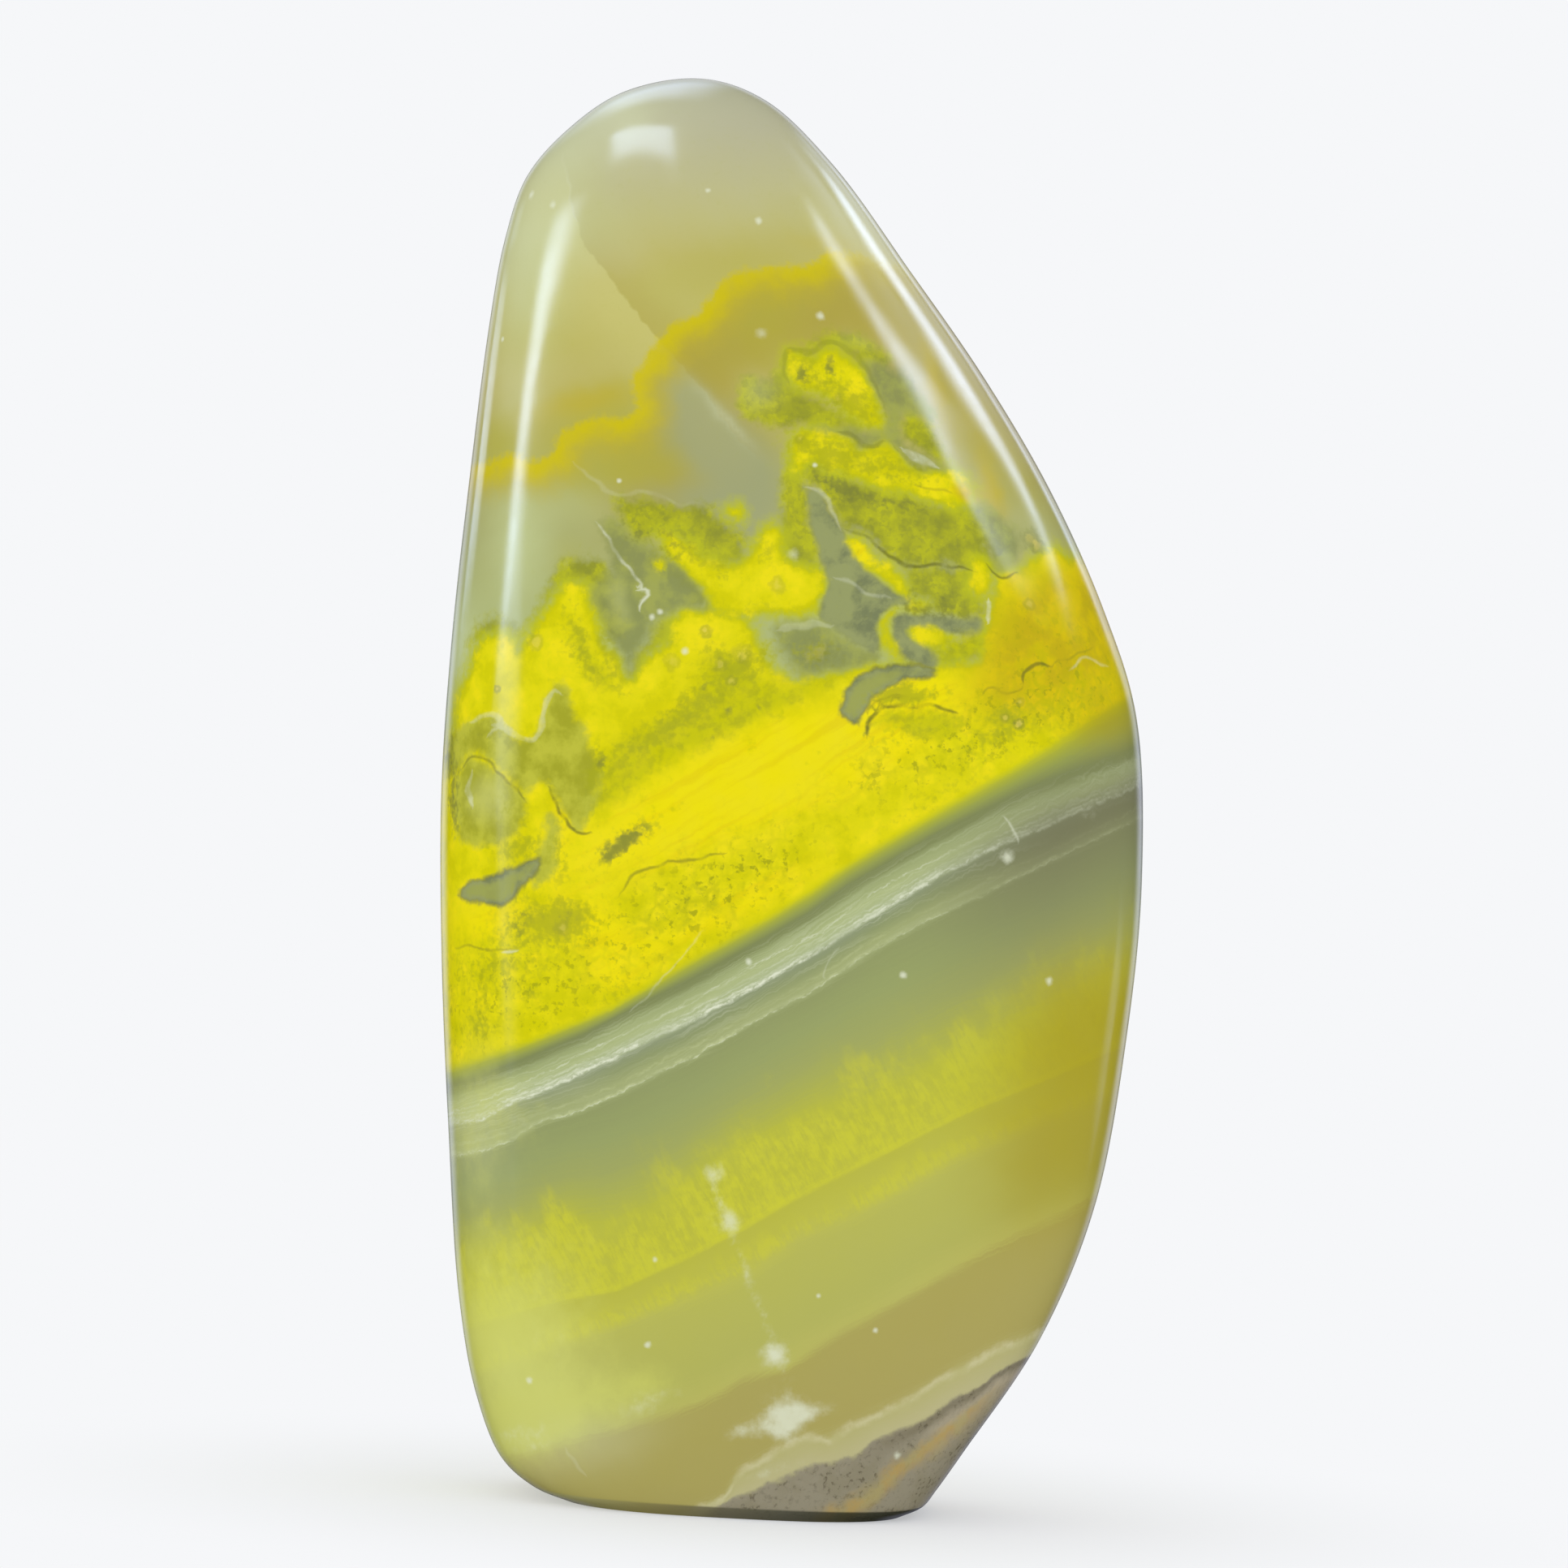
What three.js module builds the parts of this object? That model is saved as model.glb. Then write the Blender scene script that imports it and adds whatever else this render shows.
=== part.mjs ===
// A bumblebee jasper standing stone: one piece of banded rock, cut flat below and polished all over.
// Millimetres, +Z up. The wide polished face looks along -Y, and the stone stands on its sawn base at z = 0.
// The origin is under the middle of the stone's bounding box, on the base.
// Each level ring is a superellipse between the front outline's two sides and the side outline's two sides.
// Shallow facets left by the grinding wheel then flatten the rings a little where they bulge past them.
import * as THREE from "three";

// Driving dimensions
const HEIGHT = 110;
const CREASE_HEIGHT = 0.8; // where the bevel round the sawn base meets the polished sides
const RINGS = 56; // level rings from the base up, the top itself not counted
const RING_POINTS = 66; // points round each ring

// The outline seen from the front, as [x, z]: up the left side, over the top and down the right side.
const FRONT_OUTLINE = [
  [-13.2, 0], [-15.5, 0.8], [-18.0, 2.8], [-20.2, 7.6], [-21.9, 15], [-23.4, 28], [-24.6, 41], [-25.3, 54],
  [-25.1, 66], [-24.4, 78], [-23.5, 90], [-22.6, 97], [-21.2, 101.8], [-18.2, 105.6], [-14.0, 108.7], [-8.0, 110],
  [-3.1, 108.6], [2.3, 104], [8.8, 96], [15.0, 88], [20.6, 79.5], [25.2, 70.5], [28.1, 62.5], [29.2, 50],
  [28.7, 38], [26.9, 24.5], [23.2, 14], [17.9, 5.2], [15.8, 1.9], [15.0, 0.8], [13.4, 0],
];

// The outline seen from the right, as [y, z]: up the front face, over the top and down the back.
const SIDE_OUTLINE = [
  [-12.8, 0], [-13.25, 0.4], [-13.7, 0.8], [-13.85, 1.3], [-14.4, 4.5], [-15.3, 12], [-16.0, 24], [-16.3, 40],
  [-16.0, 56], [-15.0, 70], [-13.3, 83], [-11.1, 94], [-8.4, 102], [-4.9, 107.7], [0.6, 110],
  [5.6, 107.9], [9.4, 101.6], [12.4, 92], [14.9, 79], [16.6, 64], [17.4, 47], [17.0, 31],
  [15.9, 17], [14.4, 6], [13.5, 1.3], [13.3, 0.8], [12.8, 0.4], [12.3, 0],
];

// How square the rings are: 2 is an ellipse, and more is squarer. It eases to the second value over the top.
const SQUARENESS = { body: 2.7, top: 2.15, from: 62, to: 108 };

// Facets of the grinding: outward direction, distance from the base's middle along it, and how soft the edge is.
const FACETS = [
  { name: "bevel beside the slanting edge", toward: [0.56, -0.73, 0.39], distance: 46.8, softness: 0.16 },
  { name: "upper left of the back", toward: [-0.5, 0.81, 0.31], distance: 44.0, softness: 0.8 },
  { name: "lower right of the back", toward: [0.55, 0.83, -0.09], distance: 23.4, softness: 0.9 },
];

// The slow swell that hand polishing leaves in the two wide faces: height, and how fast it turns along x, y and z.
const SWELLS = [
  { height: 0.16, turns: [0.21, 0.13, 0.11], phase: 0.4 },
  { height: 0.1, turns: [-0.17, 0.24, 0.19], phase: 2.1 },
];
const SWELL_START = 6; // height above the base over which the swell grows from nothing

const OUTLINE_SAMPLES = 2400;
const COLOUR = 0xb9b55c;

// One outline as a curve, cut at its top into two lists of [across, z] that rise with z.
function twoSides(outline) {
  const curve = new THREE.CatmullRomCurve3(outline.map(([across, z]) => new THREE.Vector3(across, 0, z)));
  const points = Array.from({ length: OUTLINE_SAMPLES + 1 }, (_, i) => curve.getPoint(i / OUTLINE_SAMPLES));
  const highest = Math.max(...points.map((p) => p.z));
  const list = points.map((p) => [p.x, (Math.max(p.z, 0) * HEIGHT) / highest]);
  const top = list.findIndex(([, z]) => z >= HEIGHT);
  return [list.slice(0, top + 1), list.slice(top).reverse()];
}

// Where one side of an outline is at height z.
function acrossAt(side, z) {
  let low = 0;
  let high = side.length - 1;
  while (high - low > 1) {
    const middle = (low + high) >> 1;
    if (side[middle][1] <= z) low = middle;
    else high = middle;
  }
  const [[a, za], [b, zb]] = [side[low], side[high]];
  return zb > za ? THREE.MathUtils.lerp(a, b, (z - za) / (zb - za)) : b;
}

const [leftSide, rightSide] = twoSides(FRONT_OUTLINE);
const [frontSide, backSide] = twoSides(SIDE_OUTLINE);

// Centre and half sizes of the ring at height z.
function ringAt(z) {
  const [left, right] = [acrossAt(leftSide, z), acrossAt(rightSide, z)];
  const [front, back] = [acrossAt(frontSide, z), acrossAt(backSide, z)];
  return { x: (left + right) / 2, y: (front + back) / 2, halfWidth: (right - left) / 2, halfDepth: (back - front) / 2 };
}

// Picks count values out of samples so that the lengths between them, given as running totals, are equal.
function evenly(samples, totals, count) {
  const whole = totals[totals.length - 1];
  return Array.from({ length: count }, (_, i) => {
    const wanted = (whole * i) / count;
    const next = Math.max(1, totals.findIndex((t) => t > wanted));
    const share = (wanted - totals[next - 1]) / (totals[next] - totals[next - 1]);
    return THREE.MathUtils.lerp(samples[next - 1], samples[next], share);
  });
}

// Ring heights: the base, then evenly spaced along the surface from the crease up. The top isn't among them.
function ringHeights() {
  // A ring's size falls with the square root of what is left above it, so the samples close up there.
  const rise = HEIGHT - CREASE_HEIGHT;
  const heights = Array.from({ length: OUTLINE_SAMPLES + 1 }, (_, i) => HEIGHT - rise * (1 - i / OUTLINE_SAMPLES) ** 2);
  const totals = [0];
  for (let i = 1; i < heights.length; i++) {
    const [a, b] = [ringAt(heights[i - 1]), ringAt(heights[i])];
    const step = Math.hypot(heights[i] - heights[i - 1], b.halfWidth - a.halfWidth, b.halfDepth - a.halfDepth);
    totals.push(totals[i - 1] + step);
  }
  return [0, ...evenly(heights, totals, RINGS - 1)];
}

function squareness(z) {
  const share = THREE.MathUtils.smoothstep(z, SQUARENESS.from, SQUARENESS.to);
  return THREE.MathUtils.lerp(SQUARENESS.body, SQUARENESS.top, share);
}

// A point of the ring with centre and half sizes ring, in the direction angle, at height z.
function superellipse(ring, angle, z) {
  const power = squareness(z);
  const [c, s] = [Math.cos(angle), Math.sin(angle)];
  const reach = (Math.abs(c / ring.halfWidth) ** power + Math.abs(s / ring.halfDepth) ** power) ** (-1 / power);
  return new THREE.Vector3(ring.x + reach * c, ring.y + reach * s, z);
}

// Directions of the points round a ring, evenly spaced along the widest ring.
function ringAngles() {
  const angles = Array.from({ length: OUTLINE_SAMPLES + 1 }, (_, i) => (2 * Math.PI * i) / OUTLINE_SAMPLES);
  const widest = ringAt(HEIGHT / 2);
  const points = angles.map((angle) => superellipse(widest, angle, HEIGHT / 2));
  const totals = [0];
  for (let i = 1; i < points.length; i++) totals.push(totals[i - 1] + points[i].distanceTo(points[i - 1]));
  return evenly(angles, totals, RING_POINTS);
}

// Moves a point of the plain form onto the ground and polished surface. The base stays flat. The swell is
// strongest where the point's direction in its ring looks straight to the front or the back.
function finished(point, angle) {
  const rise = THREE.MathUtils.smoothstep(point.z, 0, SWELL_START);
  const swell = SWELLS.reduce((sum, { height, turns, phase }) => {
    return sum + height * Math.sin(point.x * turns[0] + point.y * turns[1] + point.z * turns[2] + phase);
  }, 0);
  const moved = point.clone();
  moved.y += swell * rise * Math.sin(angle);
  for (const { toward, distance, softness } of FACETS) {
    const direction = new THREE.Vector3(...toward).normalize();
    const past = direction.dot(moved) - distance;
    const pressed = softness * Math.log1p(Math.exp(past / softness));
    moved.addScaledVector(direction, -pressed * rise);
  }
  return moved;
}

// The stone's skin: the middle of the base, the rings from the base up, and the top.
function stoneGeometry() {
  const angles = ringAngles();
  const rings = ringHeights().map((z) => {
    const ring = ringAt(z);
    return angles.map((angle) => finished(superellipse(ring, angle, z), angle));
  });
  const [base, top] = [ringAt(0), ringAt(HEIGHT)];
  const points = [new THREE.Vector3(base.x, base.y, 0), ...rings.flat(), new THREE.Vector3(top.x, top.y, HEIGHT)];

  const at = (ring, i) => 1 + ring * RING_POINTS + (i % RING_POINTS);
  const last = points.length - 1;
  const faces = [];
  for (let i = 0; i < RING_POINTS; i++) {
    faces.push(0, at(0, i + 1), at(0, i));
    for (let ring = 0; ring + 1 < RINGS; ring++) {
      faces.push(at(ring, i), at(ring, i + 1), at(ring + 1, i + 1));
      faces.push(at(ring, i), at(ring + 1, i + 1), at(ring + 1, i));
    }
    faces.push(at(RINGS - 1, i), at(RINGS - 1, i + 1), last);
  }

  const geometry = new THREE.BufferGeometry().setFromPoints(points);
  geometry.setIndex(faces);
  // The origin goes under the middle of the bounding box, on the base.
  geometry.computeBoundingBox();
  const middle = geometry.boundingBox.getCenter(new THREE.Vector3());
  geometry.translate(-middle.x, -middle.y, -geometry.boundingBox.min.z);
  geometry.computeVertexNormals();
  return geometry;
}

const stone = new THREE.Mesh(
  stoneGeometry(),
  new THREE.MeshStandardMaterial({ color: COLOUR, roughness: 0.12, metalness: 0 }),
);
stone.name = "stone";

const part = new THREE.Group();
part.add(stone);

export default part;
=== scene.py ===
# A bumblebee jasper standing stone on a plain pale floor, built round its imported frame.
# The stone's shape is written in millimetres, and its markings in pixels of the 1932 x 1932 photograph.
import math

import bpy
import numpy as np
from mathutils import Matrix, Vector


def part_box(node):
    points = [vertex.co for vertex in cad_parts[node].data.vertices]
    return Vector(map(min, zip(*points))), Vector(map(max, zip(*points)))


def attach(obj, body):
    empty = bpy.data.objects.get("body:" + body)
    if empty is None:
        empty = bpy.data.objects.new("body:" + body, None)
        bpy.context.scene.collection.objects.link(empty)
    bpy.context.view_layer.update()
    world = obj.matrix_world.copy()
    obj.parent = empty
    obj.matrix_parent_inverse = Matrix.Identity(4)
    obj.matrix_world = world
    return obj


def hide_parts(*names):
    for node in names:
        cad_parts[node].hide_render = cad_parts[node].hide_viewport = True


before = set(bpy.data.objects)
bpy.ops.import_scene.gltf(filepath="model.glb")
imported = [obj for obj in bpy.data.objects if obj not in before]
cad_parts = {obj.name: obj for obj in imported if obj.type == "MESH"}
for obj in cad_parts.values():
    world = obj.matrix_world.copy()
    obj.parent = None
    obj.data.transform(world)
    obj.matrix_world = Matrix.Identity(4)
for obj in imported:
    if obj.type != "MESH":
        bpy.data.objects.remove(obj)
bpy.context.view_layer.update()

MM = 0.001

# The photograph's camera, worked out from the outline of the stone.
PHOTO_SIZE = 1932
PIXELS_PER_MM = 15.91  # at the middle of the stone
PHOTO_CENTRE = Vector((-0.8, 0.0, 55.86))  # millimetres
LENS = 300.0
SENSOR = 36.0
CAMERA_RISE = math.radians(2.5)
CAMERA_ROLL = math.radians(3.04)
CAMERA_DISTANCE = PHOTO_SIZE / PIXELS_PER_MM * LENS / SENSOR

# The stone's shape, in millimetres, as its source gives it
HEIGHT = 110.0
CREASE_HEIGHT = 0.8
FRONT_OUTLINE = [
    (-13.2, 0), (-15.5, 0.8), (-18.0, 2.8), (-20.2, 7.6), (-21.9, 15), (-23.4, 28), (-24.6, 41), (-25.3, 54),
    (-25.1, 66), (-24.4, 78), (-23.5, 90), (-22.6, 97), (-21.2, 101.8), (-18.2, 105.6), (-14.0, 108.7),
    (-8.0, 110), (-3.1, 108.6), (2.3, 104), (8.8, 96), (15.0, 88), (20.6, 79.5), (25.2, 70.5), (28.1, 62.5),
    (29.2, 50), (28.7, 38), (26.9, 24.5), (23.2, 14), (17.9, 5.2), (15.8, 1.9), (15.0, 0.8), (13.4, 0),
]
SIDE_OUTLINE = [
    (-12.8, 0), (-13.25, 0.4), (-13.7, 0.8), (-13.85, 1.3), (-14.4, 4.5), (-15.3, 12), (-16.0, 24),
    (-16.3, 40), (-16.0, 56), (-15.0, 70), (-13.3, 83), (-11.1, 94), (-8.4, 102), (-4.9, 107.7), (0.6, 110),
    (5.6, 107.9), (9.4, 101.6), (12.4, 92), (14.9, 79), (16.6, 64), (17.4, 47), (17.0, 31), (15.9, 17),
    (14.4, 6), (13.5, 1.3), (13.3, 0.8), (12.8, 0.4), (12.3, 0),
]
# How square the level rings are, as the power of a superellipse, which changes between two heights
SQUARENESS = {"body": 2.7, "top": 2.15, "from": 62, "to": 108}
# Facets of the grinding: outward direction, distance along it and softness of the edge.
FACETS = [
    ((0.56, -0.73, 0.39), 46.8, 0.16),
    ((-0.5, 0.81, 0.31), 44.0, 0.8),
    ((0.55, 0.83, -0.09), 23.4, 0.9),
]
# The slow swell of the two wide faces: height, turns along x, y and z, and phase.
SWELLS = [
    (0.16, (0.21, 0.13, 0.11), 0.4),
    (0.1, (-0.17, 0.24, 0.19), 2.1),
]
SWELL_START = 6  # height over which the swell and the facets set in

# How finely the visible skin is meshed
OUTLINE_STEPS = 90  # curve points between two outline points
RING_POINTS = 320
SIDE_RINGS = 294
CHAMFER_RINGS = 4
BASE_RINGS = (0.0, 0.2, 0.4, 0.6, 0.8, 0.93)  # sizes of the rings that fill the base
FRONT_CLOSENESS = 1.9  # how much closer together the points are on the front than on the back


def smoothstep(values, low, high):
    share = np.clip((values - low) / (high - low), 0, 1)
    return share * share * (3 - 2 * share)


def curve_through(points, steps):
    """A centripetal Catmull-Rom curve through points, with this many steps between each two."""
    points = np.asarray(points, float)
    ends = [2 * points[0] - points[1], 2 * points[-1] - points[-2]]
    padded = np.vstack([ends[0], points, ends[1]])
    t = np.linspace(0, 1, steps, endpoint=False)[:, None]
    parts = []
    for i in range(len(points) - 1):
        a, b, c, d = padded[i:i + 4]
        before, here, after = (math.sqrt(math.dist(*pair)) for pair in ((a, b), (b, c), (c, d)))
        start = ((b - a) / before - (c - a) / (before + here) + (c - b) / here) * here
        end = ((c - b) / here - (d - b) / (here + after) + (d - c) / after) * here
        cubic = 2 * b - 2 * c + start + end
        square = -3 * b + 3 * c - 2 * start - end
        parts.append(b + start * t + square * t ** 2 + cubic * t ** 3)
    return np.vstack([*parts, points[-1:]])


def two_sides(outline):
    """An outline's curve, cut at its top into two rising lists of (across, height)."""
    curve = curve_through(outline, OUTLINE_STEPS)
    curve[:, 1] = np.maximum(curve[:, 1], 0) * HEIGHT / curve[:, 1].max()
    top = int(np.argmax(curve[:, 1]))
    return curve[:top + 1], curve[top:][::-1]


LEFT_SIDE, RIGHT_SIDE = two_sides(FRONT_OUTLINE)
FRONT_SIDE, BACK_SIDE = two_sides(SIDE_OUTLINE)


def across_at(side, heights):
    return np.interp(heights, side[:, 1], side[:, 0])


def rings_at(heights):
    """Middles and half sizes of the level rings at these heights: x, y, half width and half depth."""
    left, right = across_at(LEFT_SIDE, heights), across_at(RIGHT_SIDE, heights)
    front, back = across_at(FRONT_SIDE, heights), across_at(BACK_SIDE, heights)
    return (left + right) / 2, (front + back) / 2, (right - left) / 2, (back - front) / 2


def evenly(samples, totals, count):
    return np.interp(totals[-1] * np.arange(count) / count, totals, samples)


def running_totals(steps):
    return np.concatenate([[0], np.cumsum(steps)])


def ring_heights():
    """The chamfer's rings, and then rings evenly spaced along the surface up to the top."""
    chamfer = CREASE_HEIGHT * np.arange(CHAMFER_RINGS) / CHAMFER_RINGS
    heights = HEIGHT - (HEIGHT - CREASE_HEIGHT) * np.linspace(1, 0, 4000) ** 2
    _, _, half_widths, half_depths = rings_at(heights)
    steps = np.sqrt(np.diff(heights) ** 2 + np.diff(half_widths) ** 2 + np.diff(half_depths) ** 2)
    return np.concatenate([chamfer, evenly(heights, running_totals(steps), SIDE_RINGS)])


def ring_points(heights, angles):
    """Points of the superellipse rings, as an array of rings x angles x 3."""
    x, y, half_width, half_depth = (value[:, None] for value in rings_at(heights))
    share = smoothstep(heights, SQUARENESS["from"], SQUARENESS["to"])[:, None]
    power = SQUARENESS["body"] + (SQUARENESS["top"] - SQUARENESS["body"]) * share
    c, s = np.cos(angles)[None, :], np.sin(angles)[None, :]
    reach = (np.abs(c / half_width) ** power + np.abs(s / half_depth) ** power) ** (-1 / power)
    z = np.broadcast_to(heights[:, None], reach.shape)
    return np.stack([x + reach * c, y + reach * s, z], axis=2)


def ring_angles():
    angles = np.linspace(0, 2 * math.pi, 4001)
    widest = ring_points(np.array([HEIGHT / 2]), angles)[0]
    closeness = 1 + (FRONT_CLOSENESS - 1) * smoothstep(-np.sin(angles), -0.3, 0.2)
    steps = np.linalg.norm(np.diff(widest, axis=0), axis=1) * closeness[1:]
    return evenly(angles, running_totals(steps), RING_POINTS)


def finished(points, angles):
    """The ground and polished surface: the swell of the wide faces, and the facets."""
    rise = smoothstep(points[..., 2], 0, SWELL_START)
    swell = sum(h * np.sin(points @ np.array(turns) + phase) for h, turns, phase in SWELLS)
    moved = points.copy()
    moved[..., 1] += swell * rise * np.sin(angles)
    for toward, distance, softness in FACETS:
        direction = np.array(toward) / np.linalg.norm(toward)
        past = moved @ direction - distance
        pressed = softness * np.log1p(np.exp(past / softness))
        moved -= (pressed * rise)[..., None] * direction
    return moved


def stone_points():
    """Every point of the skin, from the middle of the base to the top, and the counts of base rings and all
    rings.
    """
    angles = ring_angles()
    heights = ring_heights()
    sides = finished(ring_points(heights, angles), angles)
    middle_x, middle_y, _, _ = rings_at(np.array([0.0]))
    middle = np.array([middle_x[0], middle_y[0], 0.0])
    base = [middle + (sides[0] - middle) * size for size in BASE_RINGS[1:]]
    top_x, top_y, _, _ = rings_at(np.array([HEIGHT]))
    top = [[top_x[0], top_y[0], HEIGHT]]
    points = np.vstack([middle[None, :], *base, sides.reshape(-1, 3), top])

    # The box's middle goes where the CAD solid's is.
    low, high = (np.array(corner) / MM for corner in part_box("stone"))
    shift = (low + high) / 2 - (points.min(axis=0) + points.max(axis=0)) / 2
    shift[2] = 0
    return points + shift, len(base), len(base) + len(heights)


def stone_faces(rings):
    around = np.arange(RING_POINTS)
    after = np.roll(around, -1)
    first = [(0, 1 + int(b), 1 + int(a)) for a, b in zip(around, after)]
    quads = []
    for ring in range(rings - 1):
        low, high = 1 + ring * RING_POINTS, 1 + (ring + 1) * RING_POINTS
        quads.append(np.stack([low + around, low + after, high + after, high + around], axis=1))
    last_ring = 1 + (rings - 1) * RING_POINTS
    summit = last_ring + RING_POINTS
    cap = [(last_ring + int(a), last_ring + int(b), summit) for a, b in zip(around, after)]
    return first + np.vstack(quads).tolist() + cap


# Markings, in photo pixels. Each bed ends below at a line that runs from left to right.
BEDS = {
    "yellow": [(250, 1402), (400, 1360), (555, 1318), (658, 1283), (753, 1244), (849, 1187), (950, 1131),
               (1000, 1100), (1046, 1067), (1154, 1003), (1269, 937), (1349, 887), (1390, 862)],
    "dark": [(250, 1426), (400, 1386), (555, 1340), (587, 1330), (721, 1275), (785, 1240), (849, 1209),
             (929, 1165), (1000, 1125), (1046, 1092), (1154, 1029), (1269, 973), (1340, 947), (1400, 928)],
    "pale": [(250, 1462), (400, 1430), (555, 1384), (594, 1378), (626, 1360), (673, 1342), (734, 1313),
             (785, 1288), (833, 1267), (881, 1241), (929, 1216), (1000, 1175), (1052, 1143), (1109, 1108),
             (1154, 1080), (1211, 1051), (1253, 1032), (1400, 968)],
    "grey-green": [(250, 1508), (400, 1470), (553, 1424), (580, 1422), (626, 1407), (664, 1384), (714, 1369),
                   (760, 1350), (817, 1319), (859, 1300), (929, 1260), (1000, 1222), (1042, 1194),
                   (1077, 1171), (1141, 1135), (1205, 1105), (1400, 1010)],
    "green": [(568, 1540), (626, 1526), (702, 1492), (744, 1498), (798, 1482), (836, 1458), (907, 1405),
              (965, 1376), (1015, 1350), (1080, 1338), (1137, 1308), (1290, 1228), (1400, 1175)],
    "fibres": [(580, 1633), (683, 1606), (760, 1591), (836, 1556), (894, 1526), (1003, 1465), (1080, 1426),
               (1156, 1388), (1233, 1354), (1400, 1280)],
    "short fibres": [(590, 1685), (695, 1650), (767, 1625), (836, 1597), (919, 1562), (984, 1516),
                     (1041, 1495), (1087, 1472), (1122, 1455), (1179, 1421), (1400, 1330)],
    "olive": [(618, 1794), (683, 1778), (744, 1763), (798, 1748), (848, 1732), (882, 1717), (913, 1698),
              (970, 1686), (1041, 1637), (1118, 1595), (1183, 1560), (1256, 1518), (1390, 1450)],
    "dull olive": [(600, 1960), (780, 1893), (892, 1845), (907, 1817), (957, 1786), (992, 1769),
                   (1018, 1773), (1060, 1752), (1118, 1725), (1175, 1690), (1233, 1660), (1282, 1641)],
    "cream": [(600, 1975), (780, 1908), (888, 1853), (938, 1832), (1003, 1805), (1049, 1797), (1080, 1774),
              (1125, 1755), (1168, 1729), (1217, 1702), (1244, 1683), (1300, 1655)],
    "rock": [(900, 1950), (1000, 1895), (1064, 1851), (1095, 1824), (1118, 1801), (1156, 1774),
             (1194, 1740), (1233, 1706), (1300, 1672)],
}
BED_TILT = math.radians(27)  # how steeply the beds rise to the right
LINE_STEPS = 4  # curve points between two points of a line
UPPER_WHITE_SEAM = [(250, 1444), (400, 1414), (540, 1378), (562, 1369), (610, 1350), (680, 1318), (760, 1278),
                    (850, 1236), (950, 1178), (1014, 1147), (1071, 1102), (1141, 1064), (1173, 1048),
                    (1227, 1022), (1256, 1003), (1400, 935)]

# Outlines of patches
YELLOW = {
    "main band": [
        (180, 1560), (180, 940), (230, 900), (262, 838), (290, 800), (318, 846), (345, 892), (372, 860),
        (398, 792), (425, 752), (452, 790), (478, 858), (510, 905), (538, 915), (558, 897), (563, 856),
        (581, 818), (593, 792), (619, 783), (640, 803), (657, 774), (669, 756), (692, 724), (713, 720),
        (725, 736), (735, 760), (742, 792), (757, 806), (767, 827), (772, 837), (783, 834), (795, 815),
        (813, 800), (830, 783), (833, 760), (857, 752), (886, 755), (915, 762), (927, 777), (942, 803),
        (951, 824), (974, 842), (1016, 832), (1048, 825), (1097, 817), (1153, 822), (1193, 815), (1211, 808),
        (1213, 788), (1216, 770), (1222, 747), (1227, 730), (1229, 710), (1252, 708), (1270, 690),
        (1300, 676), (1322, 690), (1344, 662), (1370, 694), (1398, 666), (1440, 684), (1440, 880),
        (1000, 1560),
    ],
    "star": [
        (811, 656), (835, 661), (857, 679), (878, 692), (907, 696), (927, 677), (939, 654), (951, 645),
        (962, 651), (965, 687), (986, 698), (1011, 705), (1016, 720), (1011, 735), (1007, 753), (995, 758),
        (974, 756), (940, 757), (921, 757), (886, 757), (874, 740), (864, 724), (844, 704), (820, 682),
    ],
    "tongue": [
        (974, 546), (983, 533), (1010, 531), (1031, 538), (1047, 542), (1058, 553), (1074, 549), (1090, 546),
        (1102, 554), (1116, 570), (1132, 579), (1159, 583), (1175, 583), (1187, 592), (1197, 610),
        (1192, 623), (1181, 625), (1165, 623), (1151, 616), (1135, 611), (1107, 606), (1089, 600),
        (1059, 593), (1043, 586), (1025, 577), (1004, 570), (993, 572), (984, 580), (975, 570),
    ],
    "sliver": [
        (1043, 662), (1055, 663), (1071, 675), (1075, 689), (1101, 701), (1114, 712), (1119, 726),
        (1117, 735), (1105, 730), (1089, 717), (1075, 705), (1062, 694), (1052, 682),
    ],
    "strip": [(1200, 690), (1216, 690), (1219, 705), (1218, 726), (1211, 736), (1202, 731), (1198, 710)],
    "drop": [(1118, 747), (1128, 741), (1142, 744), (1142, 751), (1130, 754)],
    "fish": [
        (1117, 780), (1135, 771), (1151, 773), (1163, 783), (1179, 788), (1160, 797), (1142, 797),
        (1130, 790),
    ],
    "rim of the hook": [
        (1099, 752), (1108, 754), (1098, 764), (1094, 774), (1099, 789), (1108, 803), (1116, 814),
        (1105, 812), (1092, 800), (1084, 786), (1081, 771), (1088, 760),
    ],
    "twin blob": [
        (967, 450), (969, 438), (976, 432), (987, 434), (996, 439), (1004, 442), (1012, 432), (1024, 429),
        (1038, 435), (1051, 445), (1064, 457), (1070, 475), (1079, 493), (1090, 514), (1086, 525),
        (1074, 525), (1058, 519), (1042, 505), (1024, 493), (1003, 482), (985, 477), (972, 466),
    ],
    "left dots": [(899, 626), (907, 622), (915, 626), (915, 636), (907, 640), (899, 636)],
    "pocket dots": [(808, 689), (814, 686), (821, 690), (821, 699), (814, 702), (807, 698)],
}
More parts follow.
